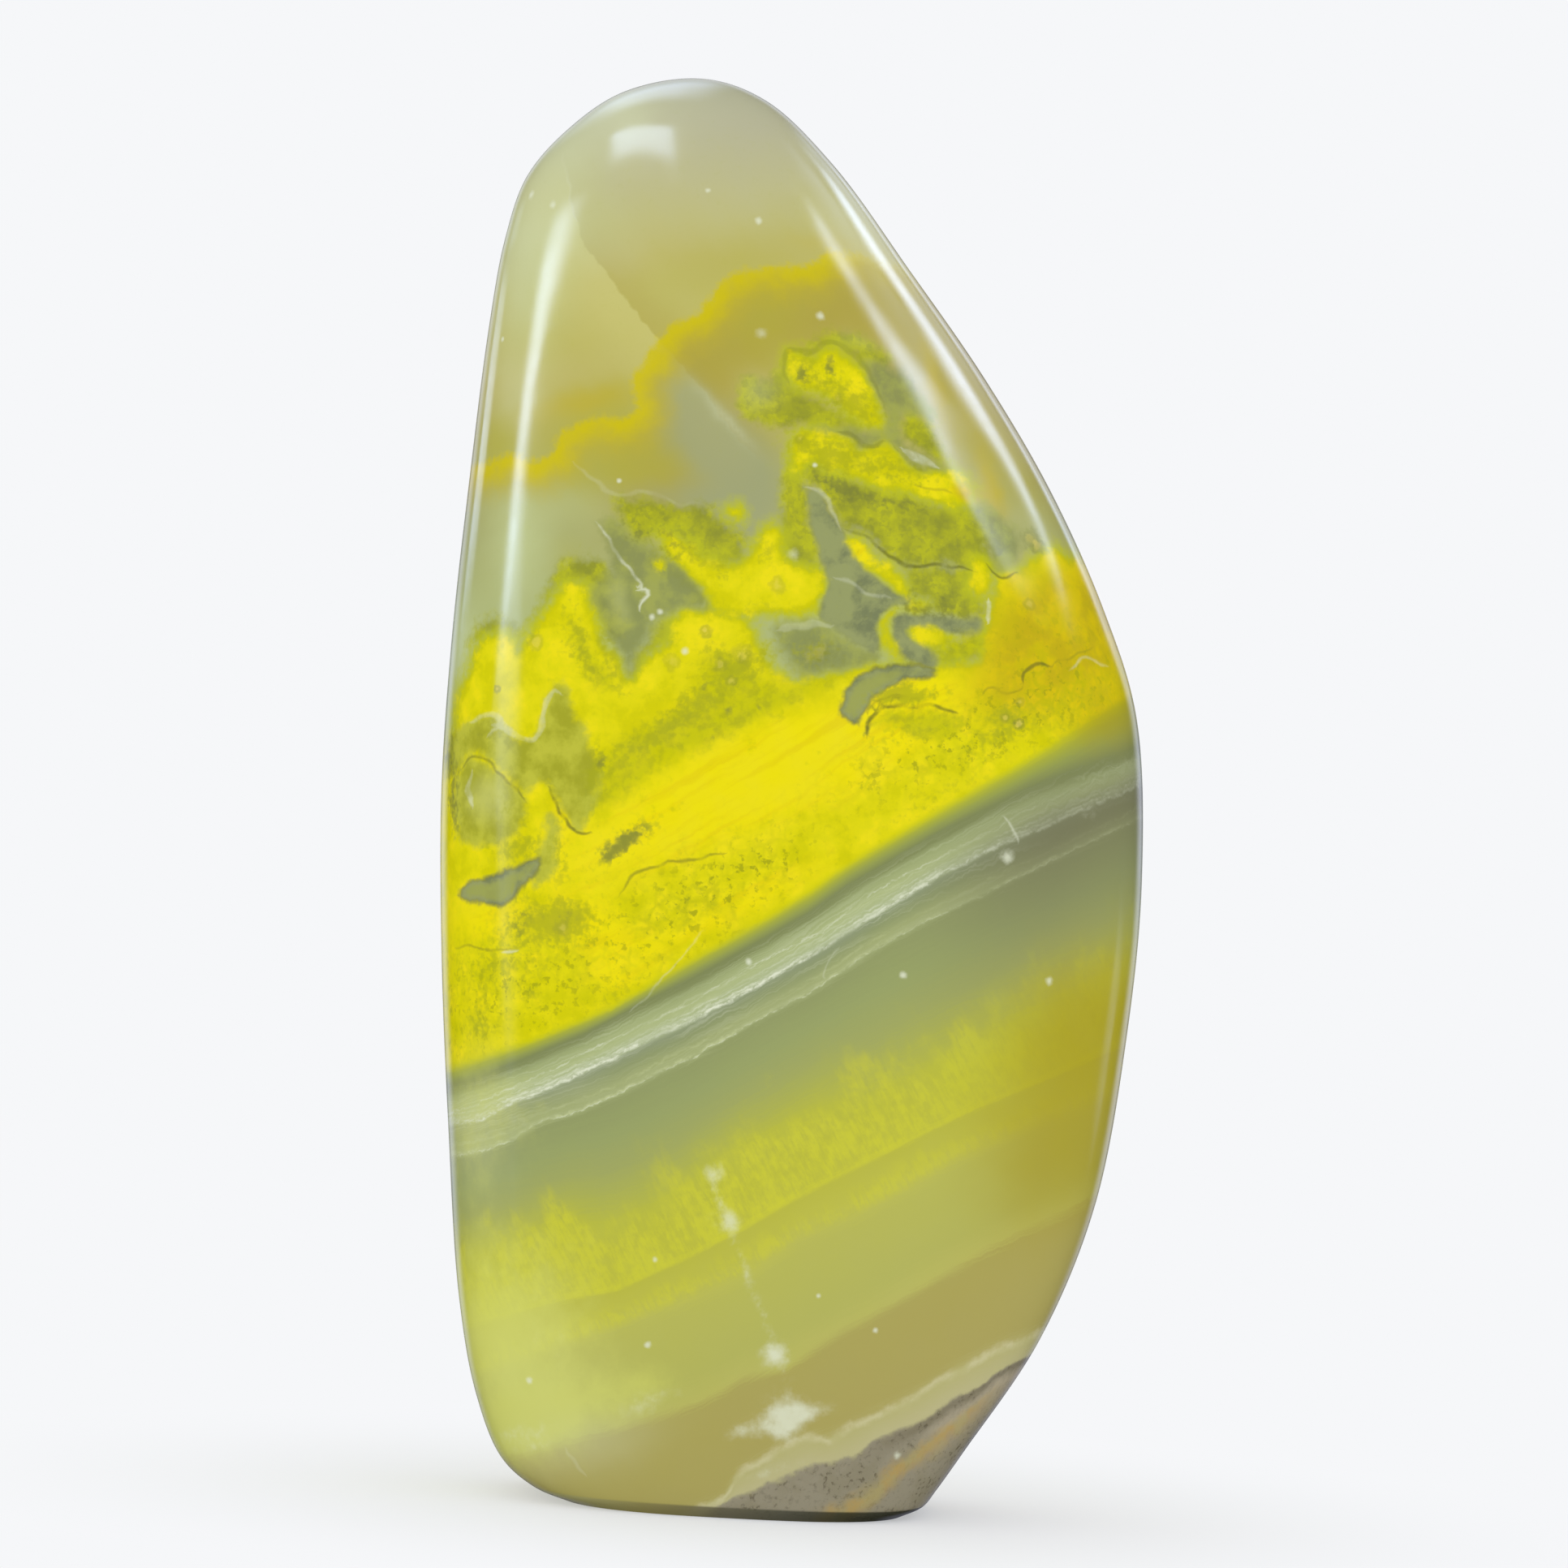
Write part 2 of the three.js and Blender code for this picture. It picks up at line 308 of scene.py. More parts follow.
MOSS = {
    "under the tongue": [
        (974, 556), (1004, 570), (1043, 586), (1107, 606), (1165, 622), (1197, 624), (1212, 640),
        (1222, 668), (1227, 700), (1199, 704), (1169, 697), (1142, 698), (1119, 698), (1098, 687),
        (1078, 670), (1059, 659), (1039, 652), (1027, 628), (1009, 606), (992, 590),
    ],
    "leg": [
        (975, 545), (990, 575), (990, 600), (997, 640), (1003, 670), (1013, 705), (985, 700), (962, 690),
        (963, 640), (967, 600), (971, 570),
    ],
    "above the star": [
        (760, 613), (792, 613), (822, 620), (851, 622), (872, 623), (886, 636), (918, 668), (918, 694),
        (886, 696), (860, 686), (842, 666), (813, 657), (795, 666), (780, 663), (772, 645), (761, 628),
    ],
    "below the star": [(822, 701), (848, 707), (872, 736), (880, 756), (857, 736), (833, 718)],
    "left of the twin blob": [
        (912, 474), (925, 463), (948, 466), (967, 450), (972, 468), (1000, 486), (1028, 504), (1060, 522),
        (1058, 530), (1010, 527), (975, 527), (950, 522), (925, 514), (910, 494),
    ],
    "over the twin blob": [
        (1000, 430), (1012, 415), (1035, 411), (1062, 415), (1085, 430), (1096, 446), (1072, 448),
        (1050, 436), (1030, 424), (1010, 428),
    ],
    "beside the crease": [
        (1111, 519), (1120, 511), (1135, 514), (1148, 528), (1157, 545), (1162, 566), (1150, 567),
        (1138, 560), (1124, 548), (1113, 536),
    ],
    "first peak": [
        (650, 770), (666, 742), (680, 712), (700, 690), (722, 683), (742, 690), (752, 712), (768, 752),
        (772, 775), (764, 790), (750, 792), (738, 765), (728, 735), (712, 718), (690, 724), (668, 756),
    ],
    "left shoulder": [(580, 790), (592, 768), (612, 760), (632, 768), (642, 800), (618, 783), (592, 792)],
    "left of the second peak": [
        (768, 838), (778, 812), (798, 790), (812, 770), (830, 758), (836, 782), (814, 800), (795, 816),
        (784, 836),
    ],
    "swirl": [
        (1114, 712), (1119, 698), (1142, 698), (1170, 697), (1198, 704), (1199, 730), (1212, 740),
        (1214, 762), (1200, 762), (1170, 760), (1148, 756), (1143, 745), (1128, 740), (1119, 732),
    ],
    "right of the hook": [
        (1158, 797), (1180, 788), (1200, 780), (1214, 774), (1213, 806), (1193, 816), (1155, 823),
    ],
}
OLIVE = {
    "mossy band": [
        (730, 952), (752, 918), (790, 892), (832, 866), (856, 842), (868, 818), (888, 802), (912, 812),
        (934, 832), (962, 846), (1000, 840), (1034, 832), (1028, 846), (1000, 858), (954, 880), (905, 900),
        (872, 916), (805, 952), (762, 984), (728, 1003), (716, 978),
    ],
    "under the lines": [
        (1076, 888), (1096, 876), (1124, 872), (1152, 874), (1176, 884), (1180, 900), (1150, 906),
        (1108, 902),
    ],
    "right of the fish": [(1152, 790), (1180, 784), (1206, 780), (1212, 800), (1190, 812), (1156, 808)],
    "first peak's hollow": [
        (704, 762), (716, 772), (730, 800), (744, 822), (756, 838), (748, 850), (732, 838), (716, 812),
        (704, 786),
    ],
}
HOLLOWS = {
    "left hollow": [
        (548, 905), (572, 895), (590, 882), (606, 880), (625, 896), (637, 910), (655, 907), (668, 887),
        (678, 850), (690, 842), (704, 862), (716, 893), (731, 925), (740, 935), (738, 965), (726, 1003),
        (712, 1022), (700, 1012), (692, 996), (675, 967), (663, 963), (648, 978), (628, 955), (599, 934),
        (578, 928), (566, 949), (548, 960),
    ],
    "left shell": [
        (560, 958), (574, 936), (590, 938), (616, 952), (640, 974), (648, 992), (643, 1022), (616, 1040),
        (593, 1040), (572, 1040), (560, 1010),
    ],
    "far hollow": [
        (392, 930), (420, 902), (452, 912), (474, 950), (500, 968), (508, 1010), (480, 1042), (448, 1030),
        (420, 1000), (398, 972),
    ],
    "far low patch": [(280, 1210), (312, 1180), (350, 1176), (378, 1196), (356, 1226), (306, 1236)],
    "strip by the sliver": [
        (672, 1000), (683, 1000), (686, 1030), (684, 1068), (676, 1078), (660, 1090), (655, 1062),
        (672, 1040),
    ],
}
SLATE = {
    "deep pocket": [
        (993, 598), (1009, 607), (1025, 632), (1039, 655), (1048, 675), (1059, 694), (1082, 714),
        (1101, 730), (1119, 735), (1117, 742), (1101, 748), (1087, 760), (1080, 776), (1086, 796),
        (1080, 806), (1066, 799), (1043, 783), (1025, 770), (1009, 760), (1016, 735), (1018, 705),
        (1007, 672), (998, 636),
    ],
    "hook": [
        (1101, 758), (1135, 755), (1170, 760), (1202, 762), (1210, 768), (1206, 780), (1181, 782),
        (1160, 780), (1151, 773), (1133, 772), (1117, 781), (1124, 790), (1145, 798), (1156, 806),
        (1153, 822), (1124, 818), (1112, 811), (1103, 794), (1098, 776),
    ],
}
NOTCHES = {
    "crescent": [
        (1097, 817), (1119, 819), (1153, 822), (1149, 834), (1130, 836), (1101, 845), (1078, 859),
        (1062, 880), (1057, 893), (1032, 880), (1039, 859), (1048, 843), (1068, 827),
    ],
    "left sliver": [
        (564, 1100), (574, 1090), (592, 1082), (612, 1076), (634, 1069), (648, 1059), (660, 1055),
        (666, 1062), (662, 1074), (652, 1086), (640, 1098), (628, 1112), (604, 1116), (584, 1113),
        (570, 1108),
    ],
    "far sliver": [(330, 1080), (360, 1058), (402, 1050), (430, 1032), (436, 1046), (404, 1070), (366, 1086)],
}
MIST = {
    "between the peaks": [
        (734, 640), (757, 640), (775, 655), (800, 672), (830, 688), (850, 702), (871, 733), (876, 753),
        (857, 750), (833, 754), (810, 765), (798, 788), (783, 812), (772, 830), (763, 808), (752, 790),
        (740, 762), (728, 735), (735, 715), (750, 700),
    ],
    "island": [
        (950, 779), (957, 769), (975, 763), (1009, 765), (1043, 783), (1068, 799), (1087, 804), (1087, 815),
        (1050, 825), (1016, 831), (990, 834), (974, 819), (958, 800),
    ],
    "right of the twin blob": [
        (1066, 448), (1080, 443), (1100, 448), (1122, 468), (1140, 495), (1150, 520), (1130, 510),
        (1112, 512), (1112, 535), (1125, 552), (1145, 566), (1165, 575), (1160, 583), (1132, 577),
        (1116, 568), (1102, 552), (1090, 545), (1092, 520), (1081, 492), (1072, 474),
    ],
    "over the tongue": [(1000, 530), (1040, 528), (1080, 530), (1095, 540), (1074, 549), (1058, 552),
                        (1045, 541)],
    "behind the bevel": [
        (1196, 622), (1215, 624), (1240, 640), (1256, 655), (1256, 690), (1234, 700), (1224, 690),
        (1212, 660),
    ],
}
# The arc: all that is below its crisp upper edge.
BELOW_ARC = [
    (200, 640), (300, 602), (400, 584), (480, 600), (550, 584), (603, 567), (632, 560), (660, 566),
    (677, 560), (690, 537), (704, 524), (720, 518), (746, 514), (770, 513), (783, 506), (780, 486),
    (779, 466), (793, 446), (802, 429), (812, 416), (825, 403), (849, 389), (872, 370), (885, 353),
    (905, 338), (925, 330), (951, 328), (984, 326), (1004, 322), (1021, 309), (1040, 310), (1085, 318),
    (1150, 345), (1230, 400), (1330, 470), (1500, 560), (1500, 1000), (200, 1000),
]
# The rock to the left of this long crack is lighter.
CRACK = [
    (694, 190), (700, 225), (709, 270), (722, 303), (736, 323), (756, 346), (772, 373), (792, 396),
    (812, 416), (829, 436), (845, 457), (868, 482), (885, 506), (901, 532), (925, 556), (945, 578),
]

# The fields of the material that come from outlines
OUTLINES = {
    "yellow": YELLOW, "moss": MOSS, "olive": OLIVE, "hollow": HOLLOWS, "slate": SLATE, "notch": NOTCHES,
    "mist": MIST,
}

# Thin dark and pale lines: half width in pixels, strength, and the route.
DARK_LINES = [
    (2.8, 0.7, [(1041, 651), (1059, 659), (1078, 670), (1098, 687), (1119, 696), (1142, 697), (1170, 697),
                (1185, 699), (1198, 705)]),
    (2.2, 0.7, [(1216, 696), (1226, 706), (1232, 711), (1243, 711), (1254, 707)]),
    (4.0, 0.4, [(1030, 532), (1049, 537), (1061, 547), (1074, 549), (1088, 545)]),
    (3.0, 0.3, [(1100, 549), (1116, 565), (1132, 576), (1155, 580)]),
    (4.5, 0.28, [(972, 474), (965, 460), (965, 444), (972, 433), (984, 429), (998, 435), (1006, 433),
                 (1013, 424), (1028, 421), (1046, 432), (1058, 442), (1068, 454), (1080, 478), (1092, 512)]),
    (1.8, 0.35, [(1128, 598), (1150, 602), (1172, 609)]),
    (3.2, 0.8, [(1070, 905), (1068, 890), (1077, 879), (1094, 872), (1128, 869), (1157, 871), (1178, 878)]),
    (1.8, 0.35, [(1066, 874), (1078, 865), (1094, 860), (1114, 858), (1136, 861)]),
    (2.0, 0.6, [(570, 944), (581, 933), (599, 937), (616, 953), (634, 968), (643, 980), (648, 990)]),
    (2.8, 0.75, [(675, 968), (684, 984), (692, 1005), (701, 1019), (713, 1025), (730, 1026)]),
    (2.2, 0.6, [(761, 1103), (775, 1085), (792, 1072), (816, 1064), (836, 1062), (863, 1056), (892, 1052)]),
    (1.5, 0.5, [(562, 1169), (572, 1163), (587, 1169), (604, 1171), (631, 1167)]),
    (3.4, 0.7, [(1260, 841), (1262, 830), (1270, 823), (1281, 820), (1295, 820)]),
    (1.6, 0.4, [(1211, 857), (1218, 849), (1227, 847), (1234, 851), (1247, 854), (1258, 849)]),
    (1.6, 0.4, [(1299, 815), (1325, 808), (1346, 799)]),
]
PALE_LINES = [
    (2.0, 0.2, [(694, 190), (700, 225), (709, 270)]),
    (2.6, 0.5, [(735, 644), (752, 668), (768, 692), (785, 716), (795, 727)]),
    (2.2, 0.75, [(786, 728), (798, 727), (797, 735), (790, 742), (789, 754)]),
    (3.0, 0.14, [(706, 568), (726, 585), (746, 605), (759, 611), (785, 606), (812, 611), (835, 620),
                 (858, 621)]),
    (4.4, 0.3, [(580, 891), (592, 882), (603, 878), (613, 885), (628, 902), (654, 911), (663, 903),
                (670, 883), (675, 862), (682, 852), (689, 857)]),
    (2.5, 0.3, [(604, 905), (616, 896), (628, 906)]),
    (2.6, 0.25, [(1026, 712), (1050, 719), (1066, 729), (1096, 738)]),
    (6.0, 0.2, [(960, 778), (974, 772), (995, 770), (1023, 771)]),
    (6.0, 0.5, [(1112, 552), (1124, 560), (1138, 569), (1156, 577)]),
    (3.0, 0.3, [(995, 600), (1010, 607), (1022, 620), (1034, 650)]),
    (3.6, 0.6, [(1219, 740), (1219, 752), (1216, 768)]),
    (2.5, 0.5, [(621, 1172), (635, 1171)]),
    (0.8, 0.3, [(868, 1148), (778, 1247)]),
    (0.8, 0.3, [(1033, 1166), (1020, 1185), (1017, 1204)]),
    (4.0, 0.45, [(580, 952), (578, 972), (582, 992)]),
    (3.0, 0.16, [(698, 1786), (709, 1806), (722, 1818)]),
    (2.0, 0.3, [(1318, 826), (1338, 811), (1364, 820)]),
    (1.4, 0.5, [(1236, 1004), (1247, 1020), (1256, 1040)]),
]

# Soft patches: centre x and y, reach along and across, turn in degrees and strength.
AMBER = [
    (1320, 770, 130, 90, -20, 0.9), (1250, 850, 90, 55, -27, 0.3), (1350, 1310, 170, 120, -27, 0.62),
    (1330, 1410, 130, 90, -27, 0.3), (1290, 1500, 120, 90, -30, 0.27),
    (720, 494, 80, 22, -12, 0.6), (1010, 298, 60, 14, 6, 0.3), (1150, 465, 12, 60, -14, 0.6),
    (1222, 600, 16, 60, -16, 0.7), (1190, 606, 26, 14, 20, 0.7), (1110, 1650, 100, 40, -30, 0.15),
    (1355, 1220, 100, 80, -27, 0.3), (1370, 885, 60, 40, -27, 0.5),
]
COOL = [
    (885, 550, 90, 46, 34, 1.0), (925, 610, 50, 50, 0, 0.35), (850, 615, 90, 22, 5, 0.5),
    (865, 505, 60, 20, 50, 0.7), (1215, 655, 40, 30, 30, 0.2), (900, 655, 60, 30, 0, 0.5),
    (1100, 480, 40, 50, 50, 0.5),
]
OLIVE_TINT = [
    (775, 572, 110, 40, -5, 0.9), (1000, 240, 50, 26, 0, 0.2), (880, 330, 140, 50, -20, 0.5),
    (612, 545, 26, 46, 0, 0.7), (980, 455, 60, 40, 0, 0.5), (700, 690, 30, 40, 0, 0.4),
    (760, 505, 100, 44, -15, 0.9), (945, 385, 80, 46, -30, 0.6), (1000, 630, 40, 30, 0, 0.6),
]
PALE = [
    (640, 670, 50, 90, 0, 0.6), (690, 180, 60, 90, 25, 0.35), (570, 800, 24, 70, 5, 0.7),
    (600, 985, 34, 40, 0, 0.5), (952, 800, 16, 24, 0, 0.1), (762, 742, 18, 44, -10, 0.45),
    (985, 770, 36, 7, 0, 0.45), (720, 620, 60, 40, 20, 0.3), (650, 380, 60, 130, 3, 0.42),
    (700, 290, 90, 60, -20, 0.4), (620, 1640, 110, 110, -20, 0.9), (575, 1430, 40, 130, 0, 0.2),
    (1240, 1690, 40, 14, -35, 0.3), (650, 1755, 80, 45, -15, 0.9), (780, 1715, 70, 30, -15, 0.5),
    (600, 1370, 80, 60, -20, 0.45),
]
GLOW = [
    (910, 968, 230, 64, -27, 1.0), (1060, 930, 90, 46, -20, 0.7), (400, 960, 120, 60, -20, 0.8),
    (845, 868, 60, 20, -27, 0.5), (1180, 865, 50, 16, -20, 0.5), (1040, 482, 30, 12, 42, 0.25),
    (900, 1120, 160, 24, -28, 0.7), (1225, 825, 40, 20, -20, 0.4), (750, 1165, 40, 60, -30, 0.8),
    (600, 1135, 60, 26, 0, 0.6), (1060, 680, 14, 20, -40, 0.8), (690, 1000, 22, 40, 0, 0.4),
    (985, 735, 30, 20, 0, 0.3), (1150, 845, 34, 12, 0, 0.5), (585, 1230, 40, 40, 0, 0.4),
]
SHADE = [
    (730, 955, 12, 34, 12, 0.7), (868, 862, 70, 20, -32, 0.55), (792, 915, 60, 16, -32, 0.6),
    (905, 820, 28, 14, -10, 0.7), (1110, 905, 60, 14, -14, 0.35), (1230, 905, 50, 20, -27, 0.5),
    (1236, 880, 22, 14, 0, 0.6), (1330, 870, 60, 26, -27, 0.25), (600, 1205, 26, 30, 0, 0.3),
    (640, 1190, 60, 22, 0, 0.35), (590, 1262, 22, 30, 0, 0.5), (700, 1128, 26, 14, 0, 0.6),
    (650, 1222, 16, 10, 0, 0.6), (852, 1105, 90, 40, -27, 0.25), (716, 795, 8, 34, -14, 0.6),
    (728, 828, 10, 14, 0, 0.4), (850, 680, 40, 12, 32, 0.6), (888, 704, 12, 16, 0, 0.4),
    (930, 750, 50, 8, 0, 0.35), (690, 1060, 12, 34, 0, 0.5), (625, 1000, 16, 24, 0, 0.4),
    (1150, 985, 70, 8, -30, 0.3), (1020, 560, 46, 20, 14, 0.75), (1100, 580, 60, 18, 16, 0.6),
    (990, 545, 10, 8, 0, 0.5), (1325, 922, 70, 16, -27, 0.9), (760, 830, 12, 30, -10, 0.4),
    (745, 800, 8, 26, -16, 0.5), (1025, 480, 60, 24, 35, 0.6), (640, 1045, 34, 14, -20, 0.75),
    (670, 1135, 54, 20, -6, 0.95), (1125, 856, 44, 8, -4, 0.5), (700, 745, 16, 30, 0, 0.25),
    (1104, 851, 26, 7, -16, 0.8), (1062, 502, 26, 13, 45, 0.5), (985, 452, 20, 18, 0, 0.35),
    (1000, 802, 30, 18, 0, 0.55), (880, 800, 20, 14, 0, 0.35), (700, 800, 20, 24, 0, 0.3),
    (942, 682, 16, 18, 0, 0.4), (640, 1162, 30, 12, 0, 0.3), (762, 1218, 34, 16, -27, 0.35),
    (820, 682, 18, 10, 20, 0.5), (772, 1036, 44, 16, -33, 0.6), (1115, 862, 44, 8, -6, 0.6),
    (645, 1102, 20, 14, 0, 0.4), (940, 798, 16, 20, 0, 0.45), (702, 1158, 30, 12, 0, 0.4),
]
DEEP_SHADE = [
    (1030, 597, 36, 12, 30, 0.8), (1100, 618, 60, 9, 12, 0.6), (1162, 738, 16, 10, 0, 0.6),
    (1125, 728, 8, 9, 0, 0.7), (895, 875, 6, 5, 0, 0.8), (740, 940, 5, 10, 0, 0.7),
    (1150, 755, 50, 8, 6, 0.6), (780, 655, 20, 14, 30, 0.4), (830, 660, 50, 16, 14, 0.4),
    (600, 905, 40, 10, 0, 0.3), (560, 990, 8, 40, 0, 0.7), (555, 930, 8, 30, 0, 0.6),
    (1254, 892, 5, 5, 0, 0.9), (640, 1145, 12, 12, 0, 0.5), (1018, 808, 22, 16, 0, 0.4),
    (700, 1130, 14, 9, 0, 0.5), (989, 463, 9, 15, -20, 0.7), (1025, 451, 9, 15, 0, 0.75),
    (650, 1128, 24, 7, 0, 0.45), (1069, 898, 5, 9, 0, 0.8), (757, 1046, 22, 9, -33, 1.0),
    (778, 1033, 24, 11, -30, 0.9), (1120, 744, 16, 8, 0, 0.4), (822, 684, 16, 9, 20, 0.45),
    (935, 874, 5, 4, 0, 0.8), (879, 911, 5, 4, 0, 0.7), (867, 846, 6, 10, 0, 0.5),
]
CLOUDS = [
    (879, 1445, 14, 16, 0, 0.5), (896, 1507, 20, 15, 0, 0.45), (886, 1476, 24, 7, 71, 0.25),
    (930, 1595, 130, 6, 69, 0.34), (956, 1671, 18, 13, 0, 0.9), (965, 1745, 22, 26, 20, 0.85),
    (985, 1742, 40, 10, -8, 0.7),
    (958, 1757, 26, 14, 0, 0.6), (915, 1764, 22, 9, -20, 0.55), (656, 1784, 30, 7, -12, 0.3),
    (800, 1728, 44, 14, -18, 0.35), (640, 1768, 40, 12, -12, 0.35), (660, 1630, 8, 60, 0, 0.16),
    (690, 1660, 8, 50, 6, 0.14), (345, 1700, 60, 20, -14, 0.4), (1342, 1003, 10, 9, 0, 0.35),
    (640, 1383, 16, 12, 0, 0.3), (950, 1812, 50, 8, -18, 0.25),
]
# A milky haze in the rock
HAZE = [
    (640, 1700, 110, 150, -10, 0.24), (740, 1780, 110, 40, -12, 0.25), (780, 130, 140, 60, 0, 0.3),
    (690, 190, 60, 70, 30, 0.4), (770, 140, 40, 40, 0, 0.3), (640, 340, 40, 110, 6, 0.36),
    (700, 285, 70, 50, -10, 0.28), (935, 480, 34, 30, 0, 0.3), (640, 490, 40, 50, 0, 0.35),
    (590, 1390, 50, 100, 0, 0.32), (895, 516, 62, 9, 48, 0.4), (760, 320, 40, 30, 0, 0.2),
    (1060, 422, 40, 14, 14, 0.2), (700, 1345, 60, 14, -20, 0.2),
]
MOTTLES = [
    (850, 1115, 120, 50, -27, 1.0), (640, 1225, 120, 70, -20, 0.85), (330, 1300, 160, 80, -20, 0.9),
    (1225, 895, 80, 40, -27, 1.0), (1110, 945, 90, 36, -27, 0.7), (1270, 790, 60, 70, 0, 0.4),
    (880, 850, 70, 40, -30, 0.5), (1330, 850, 60, 60, 0, 0.6), (940, 1070, 60, 24, -27, 0.8),
    (870, 1180, 80, 14, -27, 0.5),
]
# White specks: place, radius, and strength where they are faint.
SPECKS = [
    (871, 233, 3.2), (935, 271, 4.0), (1011, 390, 4.4), (936, 413, 6.0, 0.5), (1113, 1202, 4.0),
    (1291, 1211, 4.6), (1242, 1054, 7.0), (1011, 1598, 2.6), (1081, 1642, 3.0), (798, 1655, 3.6),
    (805, 1553, 3.0), (803, 761, 3.4), (812, 757, 3.2), (921, 1187, 3.4), (977, 686, 6.0, 0.55),
    (651, 1704, 4.0), (620, 419, 3.0), (761, 592, 2.6), (655, 240, 5.0), (682, 250, 4.6), (844, 806, 4.0),
    (1106, 1795, 4.6), (1005, 574, 2.6),
]
# Small rings and pores: place, radius and strength.
PORES = [
    (662, 792, 9, 0.5), (866, 779, 7, 0.7), (829, 815, 9, 0.35), (914, 806, 10, 0.45), (887, 817, 7, 0.45),
    (958, 723, 8, 0.45), (1271, 662, 13, 0.55), (1276, 674, 11, 0.5), (1007, 808, 17, 0.25),
    (1254, 891, 6, 0.8), (1240, 881, 5, 0.6), (1268, 741, 6, 0.5), (1257, 867, 5, 0.5), (1032, 494, 6, 0.35),
    (612, 849, 4.5, 0.9), (899, 838, 6, 0.5), (690, 1140, 8, 0.5), (987, 541, 5, 0.4),
]
# The fields of the material that come from soft patches
SOFT_PATCHES = {
    "amber": AMBER, "cool": COOL, "olive_tint": OLIVE_TINT, "pale": PALE, "glow": GLOW, "shade": SHADE,
    "deep_shade": DEEP_SHADE, "cloud": CLOUDS, "haze": HAZE, "mottle": MOTTLES,
}


def photo_axes():
    """The photograph's camera: its place, and the directions of its right, its up and its view."""
    view = Vector((0, math.cos(CAMERA_RISE), -math.sin(CAMERA_RISE)))
    place = PHOTO_CENTRE - view * CAMERA_DISTANCE
    level_right, level_up = Vector((1, 0, 0)), Vector((0, math.sin(CAMERA_RISE), math.cos(CAMERA_RISE)))
    right = level_right * math.cos(CAMERA_ROLL) + level_up * math.sin(CAMERA_ROLL)
    up = level_up * math.cos(CAMERA_ROLL) - level_right * math.sin(CAMERA_ROLL)
    return place, right, up, view


def in_photo(points):
    """Where points of the stone, in millimetres, are seen in the photograph."""
    place, right, up, view = (np.array(value) for value in photo_axes())
    seen = points - place
    scale = PHOTO_SIZE * LENS / SENSOR / (seen @ view)
    return PHOTO_SIZE / 2 + (seen @ right) * scale, PHOTO_SIZE / 2 - (seen @ up) * scale


OUTLINE_ROUNDING = 3  # curve points between two corners of an outline
OUTLINE_MARGIN = 60.0  # pixels; further from an outline than this, only its box counts

# How the markings run on behind the front
BACK_REACH = 16.0  # millimetres of depth over which they drift to the left
BACK_DRIFT = 210  # pixels to the left
BACK_DIP = 5.5  # pixels down for each millimetre of depth
BACK_BENDS = (42, 26)  # pixels sideways and down
BEND_SIZE = 9.0  # millimetres


def marking_places(points):
    """Where each point takes its markings from, in photo pixels.

    The front takes them as the photograph shows them. Behind, the same beds run on through the stone, and
    there they dip, drift sideways and bend.
    """
    px, py = in_photo(points)
    depth = np.maximum(points[:, 1] - 0.5, 0)
    share = smoothstep(depth, 0, BACK_REACH + 2)
    drift = np.sin(np.minimum(depth / BACK_REACH, 1) * math.pi / 2)
    x, y, z = points.T / BEND_SIZE
    bend_x = np.sin(1.3 * z + 0.7 * x + 0.4) + 0.6 * np.sin(2.3 * x - 1.1 * y + 1.7 * z)
    bend_y = np.sin(1.1 * x - 0.9 * z + 1.9) + 0.5 * np.sin(2.1 * z + 1.3 * y + 0.8 * x)
    px = px - BACK_DRIFT * drift + BACK_BENDS[0] * share * bend_x
    py = py + BACK_DIP * depth + BACK_BENDS[1] * share * bend_y
    return px, py


def wavered(px, py):
    """The same places, moved to and fro by a pixel or two, so that no edge is quite smooth."""
    waves_x = 1.5 * np.sin(py / 9.0 + 1.7 * np.sin(px / 23.0)) + 1.0 * np.sin(py / 4.1 + px / 6.3)
    waves_y = 1.5 * np.sin(px / 8.3 + 1.9 * np.sin(py / 27.0)) + 1.0 * np.sin(px / 4.7 - py / 5.9)
    return px + waves_x, py + waves_y


def below_line(px, py, line):
    """How far below a line from left to right each point is, in pixels down the photograph."""
    xs, ys = np.array(line, float).T
    height = np.interp(px, xs, ys)
    height += np.minimum(px - xs[0], 0) * (ys[1] - ys[0]) / (xs[1] - xs[0])
    height += np.maximum(px - xs[-1], 0) * (ys[-1] - ys[-2]) / (xs[-1] - xs[-2])
    return py - height


def across_beds(px, py, line):
    """The same distance in millimetres, square to the beds."""
    return below_line(px, py, line) / PIXELS_PER_MM * math.cos(BED_TILT)


def bed_numbers(px, py):
    """0 at the lower edge of the first bed, 1 at the second's and so on, and below 0 above the first."""
    below = [below_line(px, py, bed) for bed in BEDS.values()]
    for upper, lower in zip(below, below[1:]):
        np.minimum(lower, upper - 2, out=lower)
    number = np.minimum(below[0] / 60, 0)
    for upper, lower in zip(below, below[1:]):
        number += np.clip(upper / (upper - lower), 0, 1)
    return number + np.maximum(below[-1] / 60, 0)


def nearest_on(px, py, start, end):
    """Distance to a straight stretch, the share along it, and which side of it each point is on."""
    (ax, ay), (bx, by) = start, end
    dx, dy = bx - ax, by - ay
    share = np.clip(((px - ax) * dx + (py - ay) * dy) / (dx * dx + dy * dy), 0, 1)
    away_x, away_y = px - ax - share * dx, py - ay - share * dy
    side = np.where(dx * away_y - dy * away_x < 0, -1.0, 1.0)
    return np.hypot(away_x, away_y), share, side


def round_outline(outline):
    """A closed outline with its corners rounded."""
    curve = curve_through([*outline, outline[0]], OUTLINE_ROUNDING)[:-1]
    return [tuple(point) for point in curve.tolist()]


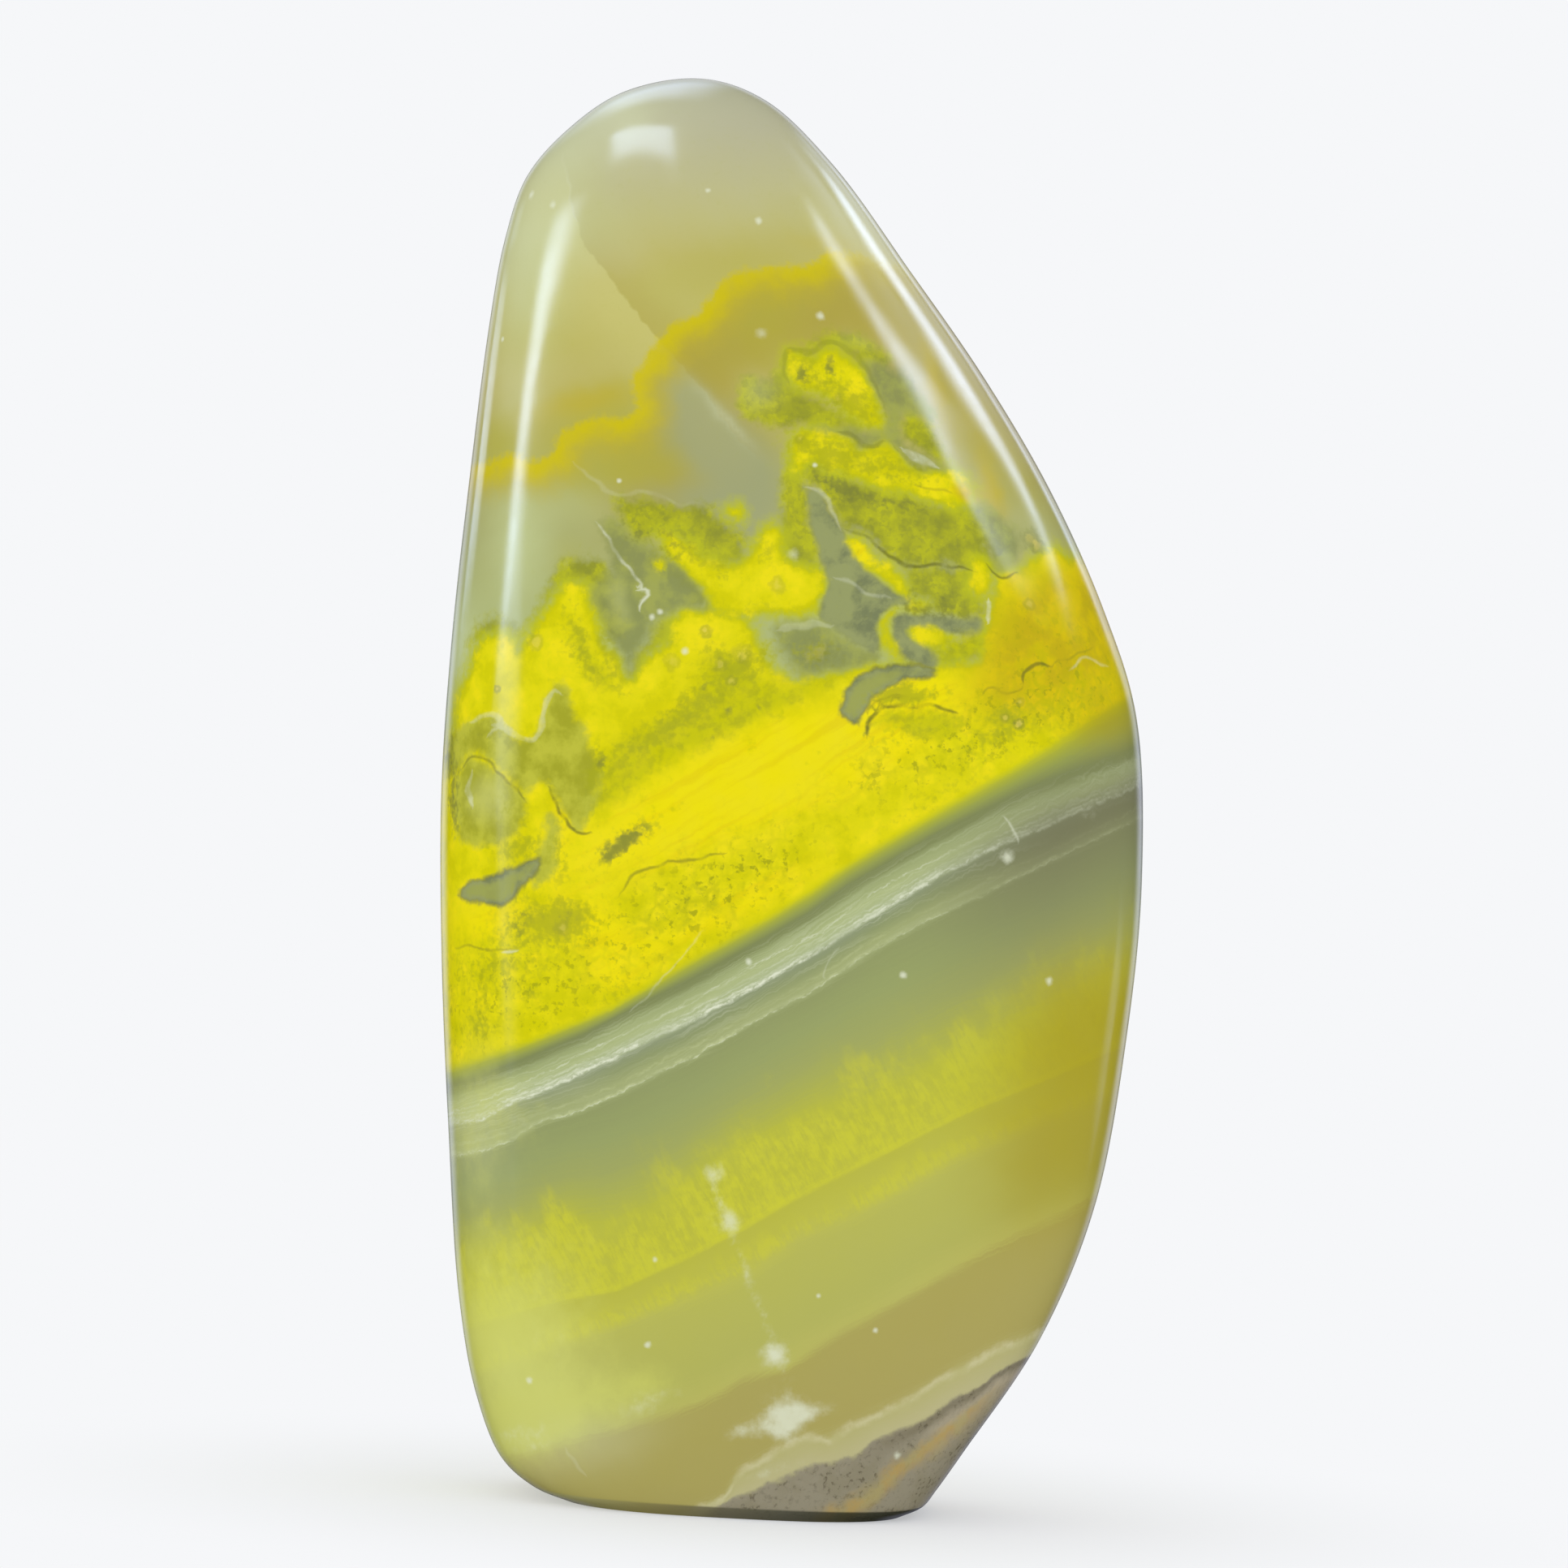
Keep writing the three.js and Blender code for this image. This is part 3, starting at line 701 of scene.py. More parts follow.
def inside_by(px, py, outline):
    """How far inside an outline each point is, in millimetres. Outside it the number is negative."""
    corners = np.array(outline, float)
    low, high = corners.min(axis=0), corners.max(axis=0)
    beyond_x = np.maximum(low[0] - px, px - high[0])
    beyond_y = np.maximum(low[1] - py, py - high[1])
    beyond = np.maximum(beyond_x, beyond_y)
    near = beyond < OUTLINE_MARGIN
    result = -beyond
    px, py = px[near], py[near]
    nearest = np.full(len(px), np.inf)
    inside = np.zeros(len(px), bool)
    curve = round_outline(outline)
    for start, end in zip(curve, curve[1:] + curve[:1]):
        nearest = np.minimum(nearest, nearest_on(px, py, start, end)[0])
        if start[1] != end[1]:
            crosses = (start[1] > py) != (end[1] > py)
            slope = (end[0] - start[0]) / (end[1] - start[1])
            inside ^= crosses & (px < start[0] + slope * (py - start[1]))
    result[near] = np.where(inside, nearest, -nearest)
    return result / PIXELS_PER_MM


def inside_any(px, py, outlines):
    return np.max([inside_by(px, py, outline) for outline in outlines.values()], axis=0)


def along_lines(px, py, lines):
    """The nearest line: signed distance across it, half width and strength, and how far past its edge."""
    past = np.full(len(px), OUTLINE_MARGIN)
    across, width, strength = (np.full(len(px), value) for value in (OUTLINE_MARGIN, 0.0, 0.0))
    for half_width, strong, route in lines:
        curve = curve_through(route, LINE_STEPS).tolist()
        for i, (start, end) in enumerate(zip(curve, curve[1:])):
            distance, share, side = nearest_on(px, py, start, end)
            middle = abs(2 * (i + share) / (len(curve) - 1) - 1)
            thinned = half_width * (1 - 0.8 * middle ** 4)
            closer = distance - thinned < past
            past = np.where(closer, distance - thinned, past)
            across = np.where(closer, side * distance, across)
            width = np.where(closer, thinned, width)
            strength = np.where(closer, strong, strength)
    line = np.stack([across / PIXELS_PER_MM, width / PIXELS_PER_MM, strength], axis=1)
    return line, past / PIXELS_PER_MM


def beside_line(px, py, route):
    """Distance to a line in millimetres, above 0 on its left and below, and a share that ends with it."""
    curve = curve_through(route, 3).tolist()
    nearest = np.full(len(px), np.inf)
    signed, taper = np.zeros(len(px)), np.zeros(len(px))
    for i, (start, end) in enumerate(zip(curve, curve[1:])):
        distance, share, side = nearest_on(px, py, start, end)
        middle = abs(2 * (i + share) / (len(curve) - 1) - 1)
        closer = distance < nearest
        nearest = np.where(closer, distance, nearest)
        signed = np.where(closer, side * distance, signed)
        taper = np.where(closer, 1 - middle ** 4, taper)
    return np.stack([signed / PIXELS_PER_MM, taper, np.zeros(len(px))], axis=1)


def patches(px, py, spots):
    total = np.zeros(len(px))
    for x, y, reach_along, reach_across, turn, strength in spots:
        c, s = math.cos(math.radians(turn)), math.sin(math.radians(turn))
        along = ((px - x) * c + (py - y) * s) / reach_along
        across = ((py - y) * c - (px - x) * s) / reach_across
        total += strength * np.exp(-along ** 2 - across ** 2)
    return np.clip(total, 0, 1)


def marking_fields(points):
    """The smooth fields that the material paints from, by name: a number or a vector for each point."""
    px, py = marking_places(points)
    along = (px * math.cos(BED_TILT) - py * math.sin(BED_TILT)) / PIXELS_PER_MM
    upper = across_beds(px, py, BEDS["yellow"])
    lower = across_beds(px, py, BEDS["fibres"])
    share = smoothstep(upper, 1, 9)
    across = upper + share * (lower - lower.mean() - upper + upper.mean())
    seams = [across_beds(px, py, BEDS["pale"]), across_beds(px, py, BEDS["grey-green"]),
             across_beds(px, py, UPPER_WHITE_SEAM)]
    numbers = bed_numbers(px, py)
    side = px / PHOTO_SIZE
    px, py = wavered(px, py)
    dark_line, dark_past = along_lines(px, py, DARK_LINES)
    pale_line, pale_past = along_lines(px, py, PALE_LINES)
    fields = {
        "beds": np.stack([along, points[:, 1], across], axis=1),
        "bed": numbers,
        "below_yellow": upper,
        "seams": np.stack(seams, axis=1),
        "cream_seam": across_beds(px, py, BEDS["dull olive"]),
        "below_arc": inside_by(px, py, BELOW_ARC),
        "crack": beside_line(px, py, CRACK),
        "dark_line": dark_line,
        "dark_past": dark_past,
        "pale_line": pale_line,
        "pale_past": pale_past,
        "height": py / PHOTO_SIZE,
        "side": side,
        "rise": points[:, 2],
    }
    fields.update((name, inside_any(px, py, outlines)) for name, outlines in OUTLINES.items())
    fields.update((name, patches(px, py, spots)) for name, spots in SOFT_PATCHES.items())
    return fields


def make_stone():
    points, base_rings, rings = stone_points()
    mesh = bpy.data.meshes.new("polished_stone")
    mesh.from_pydata((points * MM).tolist(), [], stone_faces(rings))
    mesh.polygons.foreach_set("use_smooth", [True] * len(mesh.polygons))
    for name, values in marking_fields(points).items():
        if values.ndim == 1:
            attribute = mesh.attributes.new(name, "FLOAT", "POINT")
            attribute.data.foreach_set("value", values.astype(np.float32))
        else:
            attribute = mesh.attributes.new(name, "FLOAT_VECTOR", "POINT")
            attribute.data.foreach_set("vector", values.astype(np.float32).ravel())
    # The edge between the sawn base and its chamfer is sharp.
    edge_ring = range(1 + base_rings * RING_POINTS, 1 + (base_rings + 1) * RING_POINTS)
    ends = np.zeros(len(mesh.edges) * 2, dtype=np.int64)
    mesh.edges.foreach_get("vertices", ends)
    on_ring = ((ends >= edge_ring.start) & (ends < edge_ring.stop)).reshape(-1, 2).all(axis=1)
    mesh.attributes.new("sharp_edge", "BOOLEAN", "EDGE").data.foreach_set("value", on_ring)
    stone = bpy.data.objects.new("polished_stone", mesh)
    bpy.context.scene.collection.objects.link(stone)
    return stone, points


def screen_light(red, green, blue):
    """A colour as a screen shows it, 0 to 255, turned into amounts of light."""
    shares = (value / 255 for value in (red, green, blue))
    return [s / 12.92 if s <= 0.04045 else ((s + 0.055) / 1.055) ** 2.4 for s in shares]


def colour(red, green, blue):
    return screen_light(red, green, blue) + [1.0]


def rock(red, green, blue):
    """The paint for rock that is to look like this on screen, once lit and with the room's sheen over it."""
    light = screen_light(red, green, blue)
    return [min(max((value - SHEEN) / LIGHT_ON_ROCK, 0.0), 0.95) for value in light] + [1.0]


class Nodes:
    """Short names for making a material's nodes and joining them."""

    def __init__(self, tree):
        self.tree = tree
        self.tree.nodes.clear()
        self.place = self.add("ShaderNodeTexCoord").outputs["Object"]

    def add(self, kind, inputs=(), **settings):
        node = self.tree.nodes.new(kind)
        for name, value in settings.items():
            setattr(node, name, value)
        for key, value in dict(inputs).items():
            if isinstance(value, bpy.types.NodeSocket):
                self.tree.links.new(value, node.inputs[key])
            else:
                node.inputs[key].default_value = value
        return node

    def field(self, name):
        return self.add("ShaderNodeAttribute", attribute_name=name).outputs["Fac"]

    def vector_field(self, name):
        return self.add("ShaderNodeAttribute", attribute_name=name).outputs["Vector"]

    def parts(self, name):
        """The three numbers that a vector field holds."""
        return self.add("ShaderNodeSeparateXYZ", {0: self.vector_field(name)}).outputs[:]

    def math(self, operation, a, b=0.0, c=0.0):
        return self.add("ShaderNodeMath", {0: a, 1: b, 2: c}, operation=operation).outputs[0]

    def plus(self, a, b):
        return self.math("ADD", a, b)

    def times(self, a, b):
        return self.math("MULTIPLY", a, b)

    def frayed(self, value, grain, reach):
        """The value moved to and fro by a grain of 0 to 1, by up to reach either way."""
        return self.plus(value, self.math("MULTIPLY_ADD", grain, 2 * reach, -reach))

    def rough(self, value, grain, **reaches):
        """The value frayed by several of the grains, by name, each with its own reach."""
        for name, reach in reaches.items():
            value = self.frayed(value, grain[name], reach)
        return value

    def radii_from(self, centre, radius):
        """Distance from a place on the stone, in radii of the mark that is there."""
        away = self.add("ShaderNodeVectorMath", {0: self.place, 1: centre}, operation="DISTANCE")
        return self.times(away.outputs["Value"], 1 / radius)

    def dot(self, a, b):
        return self.add("ShaderNodeVectorMath", {0: a, 1: b}, operation="DOT_PRODUCT").outputs["Value"]

    def all_of(self, a, *rest):
        for b in rest:
            a = self.times(a, b)
        return a

    def ramp(self, value, low, high, to_low=0.0, to_high=1.0):
        """Rises smoothly from to_low to to_high as value goes from low to high."""
        inputs = {"Value": value, "From Min": low, "From Max": high, "To Min": to_low, "To Max": to_high}
        return self.add("ShaderNodeMapRange", inputs, interpolation_type="SMOOTHSTEP").outputs[0]

    def near(self, value, middle, width):
        """1 where value is at middle, falling smoothly to 0 where it is width away."""
        away = self.math("ABSOLUTE", self.plus(value, -middle))
        return self.ramp(away, 0.0, width, 1.0, 0.0)

    def noise(self, size, detail=2.0, roughness=0.5):
        """Noise from 0 to 1 whose lumps measure about size millimetres."""
        inputs = {"Vector": self.place, "Scale": 1 / (size * MM), "Detail": detail, "Roughness": roughness}
        return self.add("ShaderNodeTexNoise", inputs).outputs["Fac"]

    def bed_noise(self, along, across, detail=3.0, roughness=0.6):
        """Noise whose lumps measure so many millimetres along the beds and across them."""
        sizes = (1 / along, 1 / max(along, 1.0), 1 / across)
        crinkle = self.noise(1.6, 3.0, 0.6)
        shift = self.math("MULTIPLY_ADD", crinkle, 0.9, -0.45)
        shift = self.add("ShaderNodeCombineXYZ", {2: shift}).outputs[0]
        moved = self.add("ShaderNodeVectorMath", {0: self.vector_field("beds"), 1: shift}).outputs[0]
        squeezed = self.add("ShaderNodeVectorMath", {0: moved, 1: sizes}, operation="MULTIPLY").outputs[0]
        inputs = {"Vector": squeezed, "Scale": 1.0, "Detail": detail, "Roughness": roughness}
        return self.add("ShaderNodeTexNoise", inputs).outputs["Fac"]

    def cells(self, size):
        """Distance from the walls of rough cells of about size millimetres, as a share of the size."""
        inputs = {"Vector": self.place, "Scale": 1 / (size * MM), "Detail": 3.0}
        wobble = self.add("ShaderNodeTexNoise", inputs)
        inputs = {0: wobble.outputs["Color"], 1: (0.9 * size * MM,) * 3, 2: self.place}
        moved = self.add("ShaderNodeVectorMath", inputs, operation="MULTIPLY_ADD").outputs[0]
        inputs = {"Vector": moved, "Scale": 1 / (size * MM)}
        return self.add("ShaderNodeTexVoronoi", inputs, feature="DISTANCE_TO_EDGE").outputs["Distance"]

    def mix(self, share, a, b, blend="MIX"):
        inputs = {0: share, 6: a, 7: b}
        return self.add("ShaderNodeMix", inputs, data_type="RGBA", blend_type=blend).outputs[2]

    def layers(self, value, colours):
        """Colours that follow one another as the value rises."""
        lowest, highest = colours[0][0], colours[-1][0]
        share = self.math("DIVIDE", self.plus(value, -lowest), highest - lowest)
        node = self.add("ShaderNodeValToRGB", {"Fac": share})
        elements = node.color_ramp.elements
        while len(elements) < len(colours):
            elements.new(0.5)
        for element, (at, shade) in zip(elements, colours):
            element.position = (at - lowest) / (highest - lowest)
            element.color = rock(*shade)
        return node.outputs["Color"]


# How the render turns paint into what the screen shows
LIGHT_ON_ROCK = 0.87
SHEEN = 0.01

# The pale rock of the upper half, by height in the photograph from the top down
UPPER_COLOURS = [
    (0.045, (180, 180, 152)), (0.08, (181, 179, 148)), (0.12, (187, 184, 135)), (0.14, (188, 184, 124)),
    (0.165, (188, 181, 110)), (0.19, (190, 184, 110)), (0.215, (187, 180, 100)), (0.24, (187, 179, 104)),
    (0.27, (180, 174, 98)), (0.3, (173, 171, 100)), (0.34, (168, 170, 110)), (0.4, (172, 180, 120)),
]

# The beds of the lower half, by bed number
BED_COLOURS = [
    (-0.4, (214, 208, 22)), (-0.1, (200, 198, 30)), (0.25, (166, 171, 66)), (0.6, (146, 154, 84)),
    (0.92, (128, 136, 88)), (1.1, (132, 140, 92)), (1.3, (158, 168, 116)), (1.6, (172, 182, 128)),
    (1.95, (172, 182, 138)), (2.12, (142, 151, 116)), (2.4, (144, 153, 107)), (2.75, (160, 168, 114)),
    (2.95, (166, 174, 122)), (3.05, (146, 154, 102)), (3.33, (152, 161, 103)), (3.62, (160, 166, 98)),
    (3.85, (170, 174, 86)), (4.1, (182, 184, 70)), (4.5, (188, 188, 64)), (4.95, (192, 191, 68)),
    (5.08, (184, 183, 72)), (5.7, (188, 187, 78)), (5.95, (190, 189, 86)), (6.15, (182, 182, 90)),
    (6.75, (179, 179, 95)), (6.97, (184, 182, 98)), (7.08, (172, 163, 92)), (7.9, (172, 162, 95)),
    (8.1, (182, 177, 118)), (8.9, (188, 182, 134)),
]

PALE_GREEN = rock(193, 202, 146)
LIME = rock(210, 213, 104)
CLEFT_LIGHT = rock(206, 200, 126)
UNDER_ARC = rock(170, 156, 68)
OLIVE_ROCK = rock(176, 170, 62)
COOL_ROCK = rock(157, 161, 120)
AMBER_ROCK = rock(190, 172, 48)
ARC_YELLOW = rock(204, 189, 22)
ARC_GLOW = rock(190, 174, 48)
MOSS_DARK = rock(140, 144, 48)
MOSS_MIDDLE = rock(164, 167, 36)
MOSS_LIGHT = rock(184, 186, 26)
FRINGE = rock(184, 188, 40)
OLIVE_GROUND = rock(190, 190, 16)
YELLOW_ROCK = rock(221, 212, 11)
YELLOW_DULL = rock(200, 195, 10)
YELLOW_RIM = rock(190, 189, 18)
YELLOW_GLOW = rock(234, 219, 22)
YELLOW_STREAK = rock(227, 208, 14)
ORANGE = rock(208, 184, 26)
ORANGE_DEEP = rock(190, 168, 36)
MOTTLE_OLIVE = rock(172, 174, 22)
MOTTLE_DEEP = rock(146, 148, 34)
SHADE_OLIVE = rock(166, 168, 40)
DEEP_OLIVE = rock(122, 126, 62)
SLATE_LIGHT = rock(150, 156, 102)
SLATE_DARK = rock(122, 129, 92)
SLATE_RIM = rock(112, 114, 62)
HOLLOW_DARK = rock(156, 158, 52)
HOLLOW_LIGHT = rock(182, 184, 66)
HOLLOW_PALE = rock(186, 190, 116)
MIST_GREY = rock(136, 142, 84)
MIST_LIGHT = rock(158, 163, 82)
DARK_VEIN = rock(96, 98, 46)
WHITE_VEIN = rock(222, 226, 200)
PORE_TAN = rock(204, 190, 96)
FIBRE_YELLOW = rock(206, 205, 60)
FIBRE_SHADE = rock(178, 178, 68)
AMBER_BEDS = rock(163, 147, 40)
DULL_BEDS = rock(119, 119, 90)
MILKY = rock(206, 210, 170)
ROCK_GREY = rock(144, 137, 114)
ROCK_DARK = rock(118, 110, 88)
ROCK_GRIT = rock(92, 84, 68)
ROCK_GRAIN = rock(152, 145, 124)
ROCK_PALE = rock(176, 165, 140)
ROCK_STRIPE = rock(172, 160, 108)
ROCK_ORANGE = rock(182, 152, 84)
CREAM = rock(212, 206, 166)
CREAM_GREEN = rock(200, 207, 156)

# Painted shade on the chamfer at the foot, by place from left to right in the photograph
FOOT_SHADE_COLOURS = [
    (0.33, (176, 174, 120)), (0.37, (160, 156, 106)), (0.41, (138, 131, 84)), (0.46, (104, 100, 80)),
    (0.50, (84, 83, 70)), (0.54, (54, 56, 46)), (0.58, (46, 48, 40)), (0.62, (62, 60, 50)),
]


def grains(n):
    """Noise of several sizes, which roughens edges and mottles colours."""
    return {
        "broad": n.noise(9.0, 2.0),
        "middle": n.noise(2.4, 4.0, 0.6),
        "fine": n.noise(0.75, 3.0, 0.56),
        "speckle": n.ramp(n.noise(0.5, 2.0, 0.55), 0.3, 0.7),
        "wisps": n.ramp(n.bed_noise(1.5, 0.5, 4.0, 0.7), 0.34, 0.66),
        "streaks": n.bed_noise(13.0, 0.7, 4.0),
        "threads": n.bed_noise(9.0, 0.16),
        "fibres": n.bed_noise(0.4, 1.7, 4.0, 0.7),
    }


def upper_rock(n, grain):
    """The pale rock above the yellow: soft tints, the arc, and a step in tone at the long crack."""
    height = n.frayed(n.field("height"), grain["broad"], 0.01)
    ground = n.layers(height, UPPER_COLOURS)
    side = n.field("side")
    below_arc = n.rough(n.field("below_arc"), grain, speckle=0.14, fine=0.2)
    dull = n.all_of(
        n.ramp(below_arc, 0.0, 1.0), n.ramp(below_arc, 4.0, 13.0, 0.85, 0.0), n.ramp(side, 0.36, 0.43),
    )
    ground = n.mix(dull, ground, UNDER_ARC)
    for name, most, tint in (
        ("pale", 0.85, PALE_GREEN), ("olive_tint", 0.6, OLIVE_ROCK), ("cool", 0.85, COOL_ROCK),
        ("amber", 0.8, AMBER_ROCK),
    ):
        share = n.frayed(n.field(name), grain["broad"], 0.12)
        ground = n.mix(n.ramp(share, 0.03, 0.95, 0.0, most), ground, tint)

    beside, taper, _ = n.parts("crack")
    beside = n.frayed(beside, grain["fine"], 0.2)
    lighter = n.all_of(
        n.ramp(beside, -0.1, 0.14), n.ramp(beside, 0.0, 6.0, 0.42, 0.0), taper,
        n.ramp(below_arc, 0.0, 1.5, 1.0, 0.3),
    )
    ground = n.mix(lighter, ground, CLEFT_LIGHT)
    darker = n.all_of(n.ramp(beside, -3.5, -0.1, 0.0, 0.35), n.ramp(beside, -0.1, 0.14, 1.0, 0.0), taper)
    ground = n.mix(darker, ground, UNDER_ARC)

    shown = n.ramp(side, 0.525, 0.56, 1.0, 0.3)
    glow = n.all_of(n.ramp(below_arc, -0.1, 0.5), n.ramp(below_arc, 1.0, 4.0, 0.6, 0.0), shown)
    ground = n.mix(glow, ground, ARC_GLOW)
    uneven = n.frayed(n.field("below_arc"), grain["middle"], 1.2)
    arc = n.all_of(n.ramp(below_arc, -0.38, 0.45), n.ramp(uneven, 0.3, 2.4, 0.82, 0.0), shown)
    return n.mix(arc, ground, ARC_YELLOW)


def moss_colour(n, grain):
    """Olive that is mottled in soft lumps, with a finer grain and dark dots over them."""
    lumps = n.mix(n.ramp(grain["middle"], 0.38, 0.6), MOSS_DARK, MOSS_LIGHT)
    soft = n.mix(n.ramp(grain["fine"], 0.35, 0.65, 0.65, 0.0), lumps, MOSS_MIDDLE)
    return n.mix(n.ramp(grain["speckle"], 0.5, 1.0, 0.0, 0.45), soft, MOSS_DARK)


def slate_colour(n, by, grain, rim):
    """Grey-green that darkens towards its rim."""
    slate = n.mix(n.ramp(grain["middle"], 0.36, 0.6), SLATE_DARK, SLATE_LIGHT)
    slate = n.mix(n.ramp(grain["wisps"], 0.55, 1.0, 0.0, 0.4), slate, SLATE_LIGHT)
    return n.mix(n.ramp(by, 0.0, 0.34, rim, 0.0), slate, SLATE_RIM)


def yellow_rock(n, by, grain):
    """The bright yellow: olive at its rims, streaked where it glows, mottled and orange in places."""
    yellow = n.mix(n.ramp(by, 0.0, 0.8), YELLOW_RIM, YELLOW_ROCK)
    yellow = n.mix(n.ramp(grain["middle"], 0.36, 0.52, 0.62, 0.0), yellow, YELLOW_DULL)
    yellow = n.mix(n.ramp(grain["middle"], 0.5, 0.66, 0.0, 0.85), yellow, YELLOW_GLOW)
    glow = n.ramp(n.frayed(n.field("glow"), grain["middle"], 0.3), 0.15, 0.7)
    bright = n.mix(n.ramp(grain["streaks"], 0.3, 0.56), YELLOW_STREAK, YELLOW_GLOW)
    yellow = n.mix(glow, yellow, bright)
    amber = n.ramp(n.frayed(n.field("amber"), grain["middle"], 0.25), 0.1, 0.8, 0.0, 0.9)
    orange = n.mix(n.ramp(grain["middle"], 0.4, 0.6), ORANGE_DEEP, ORANGE)
    yellow = n.mix(amber, yellow, orange)

    mottle = n.field("mottle")
    blots = n.ramp(n.noise(1.5, 4.0, 0.62), 0.46, 0.64)
    yellow = n.mix(n.all_of(mottle, blots, 0.3), yellow, MOTTLE_OLIVE)
    walls = n.all_of(n.ramp(n.cells(1.3), 0.02, 0.22, 1.0, 0.0), n.ramp(grain["middle"], 0.42, 0.6))
    yellow = n.mix(n.all_of(mottle, walls, 0.5), yellow, MOTTLE_OLIVE)
    flecks = n.ramp(n.noise(0.7, 3.0, 0.62), 0.55, 0.65)
    yellow = n.mix(n.all_of(mottle, flecks, 0.68), yellow, MOTTLE_DEEP)
    few = n.ramp(n.noise(2.0, 4.0, 0.65), 0.6, 0.74, 0.0, 0.3)
    return n.mix(few, yellow, MOTTLE_OLIVE)


def growths(n, ground, grain):
    """Moss-like olive, grey mist and slate, with the yellow grown over them and hollows in the yellow."""
    moss = moss_colour(n, grain)
    moss_by = n.rough(n.field("moss"), grain, middle=1.2, speckle=0.14)
    paint = n.mix(n.ramp(moss_by, -0.7, 0.6, 0.0, 0.92), ground, moss)
    fringe_by = n.rough(n.field("yellow"), grain, speckle=0.15, middle=0.7)
    paint = n.mix(n.ramp(fringe_by, -1.2, 0.2, 0.0, 0.85), paint, FRINGE)

    pale = n.ramp(n.field("pale"), 0.1, 0.7, 0.0, 0.85)
    mist_by = n.rough(n.field("mist"), grain, middle=0.9, speckle=0.1)
    mist = n.mix(n.ramp(grain["middle"], 0.4, 0.62), MIST_GREY, MIST_LIGHT)
    mist = n.mix(pale, mist, HOLLOW_PALE)
    paint = n.mix(n.ramp(mist_by, -0.55, 0.7, 0.0, 0.88), paint, mist)
    slate_by = n.rough(n.field("slate"), grain, speckle=0.08, middle=0.4)
    paint = n.mix(n.ramp(slate_by, -0.3, 0.35), paint, slate_colour(n, slate_by, grain, 0.25))

    yellow_by = n.rough(n.field("yellow"), grain, speckle=0.1, middle=0.55, fine=0.2)
    paint = n.mix(n.ramp(yellow_by, -0.32, 0.4), paint, yellow_rock(n, yellow_by, grain))

    olive_by = n.rough(n.field("olive"), grain, middle=1.2, speckle=0.2)
    olive = n.mix(n.ramp(grain["fine"], 0.34, 0.6), MOSS_MIDDLE, OLIVE_GROUND)
    olive = n.mix(n.ramp(grain["streaks"], 0.4, 0.62, 0.0, 0.4), olive, YELLOW_DULL)
    paint = n.mix(n.ramp(olive_by, -0.8, 0.9, 0.0, 0.8), paint, olive)
    hollow_by = n.rough(n.field("hollow"), grain, middle=0.7, speckle=0.12)
    hollow = n.mix(n.ramp(grain["middle"], 0.36, 0.62), HOLLOW_DARK, HOLLOW_LIGHT)
    hollow = n.mix(pale, hollow, HOLLOW_PALE)
    paint = n.mix(n.ramp(hollow_by, -0.45, 0.45, 0.0, 0.9), paint, hollow)
    notch_by = n.rough(n.field("notch"), grain, speckle=0.06, fine=0.14)
    notch = slate_colour(n, notch_by, grain, 0.8)
    notch = n.mix(n.ramp(notch_by, 0.2, 0.75, 0.0, 0.75), notch, MIST_LIGHT)
    paint = n.mix(n.ramp(notch_by, -0.24, 0.26), paint, notch)

    shade = n.frayed(n.field("shade"), grain["speckle"], 0.25)
    paint = n.mix(n.ramp(shade, 0.15, 0.85, 0.0, 0.72), paint, SHADE_OLIVE)
    deep = n.frayed(n.field("deep_shade"), grain["speckle"], 0.2)
    return n.mix(n.ramp(deep, 0.2, 0.9, 0.0, 0.75), paint, DEEP_OLIVE)


def banded_rock(n, grain):
    """The even beds below the yellow, with tufts of fibres that stand square to them."""
    number = n.field("bed")
    wavering = n.rough(number, grain, threads=0.1, broad=0.04)
    beds = n.layers(wavering, BED_COLOURS)
    striped = n.all_of(n.near(number, 1.9, 1.3), n.ramp(grain["threads"], 0.46, 0.7), 0.22)
    beds = n.mix(striped, beds, WHITE_VEIN)
    right = n.ramp(n.field("side"), 0.56, 0.68)
    dull = n.all_of(right, n.near(number, 2.4, 2.0), 0.9)
    beds = n.mix(dull, beds, DULL_BEDS)

    # The fibres start in a soft haze at ragged heights, and end below at a pale line.
    tufts = n.bed_noise(3.0, 6.0)
    woolly = n.plus(n.times(grain["fibres"], 0.6), n.times(grain["fine"], 0.4))
    shown = n.ramp(n.field("side"), 0.53, 0.71, 1.0, 0.4)
    for top, foot, most in ((3.9, 4.97, 0.62), (5.4, 6.02, 0.45)):
        ragged_top = n.frayed(number, tufts, 0.9 * (foot - top))
        cut = n.times(n.ramp(number, foot - 0.04, foot + 0.08, 1.0, 0.0), shown)
        ground = n.all_of(n.ramp(ragged_top, top - 0.3, top + 0.6), cut, 0.6 * most)
        beds = n.mix(ground, beds, FIBRE_SHADE)
        dense = n.plus(woolly, n.times(tufts, 0.35))
        share = n.all_of(n.ramp(dense, 0.54, 0.8, 0.0, most), cut, n.ramp(ragged_top, top - 0.1, top + 0.5))
        beds = n.mix(share, beds, FIBRE_YELLOW)
    beds = n.mix(n.times(n.near(wavering, 4.97, 0.09), 0.3), beds, FIBRE_YELLOW)

    pale = n.frayed(n.field("pale"), grain["middle"], 0.35)
    beds = n.mix(n.ramp(pale, 0.1, 0.95, 0.0, 0.7), beds, LIME)
    amber = n.frayed(n.field("amber"), grain["broad"], 0.15)
    beds = n.mix(n.ramp(amber, 0.04, 0.85, 0.0, 0.72), beds, AMBER_BEDS)
    edge = n.frayed(number, grain["middle"], 0.3)
    return n.mix(n.ramp(edge, 8.88, 9.08), beds, rock_corner(n, grain))


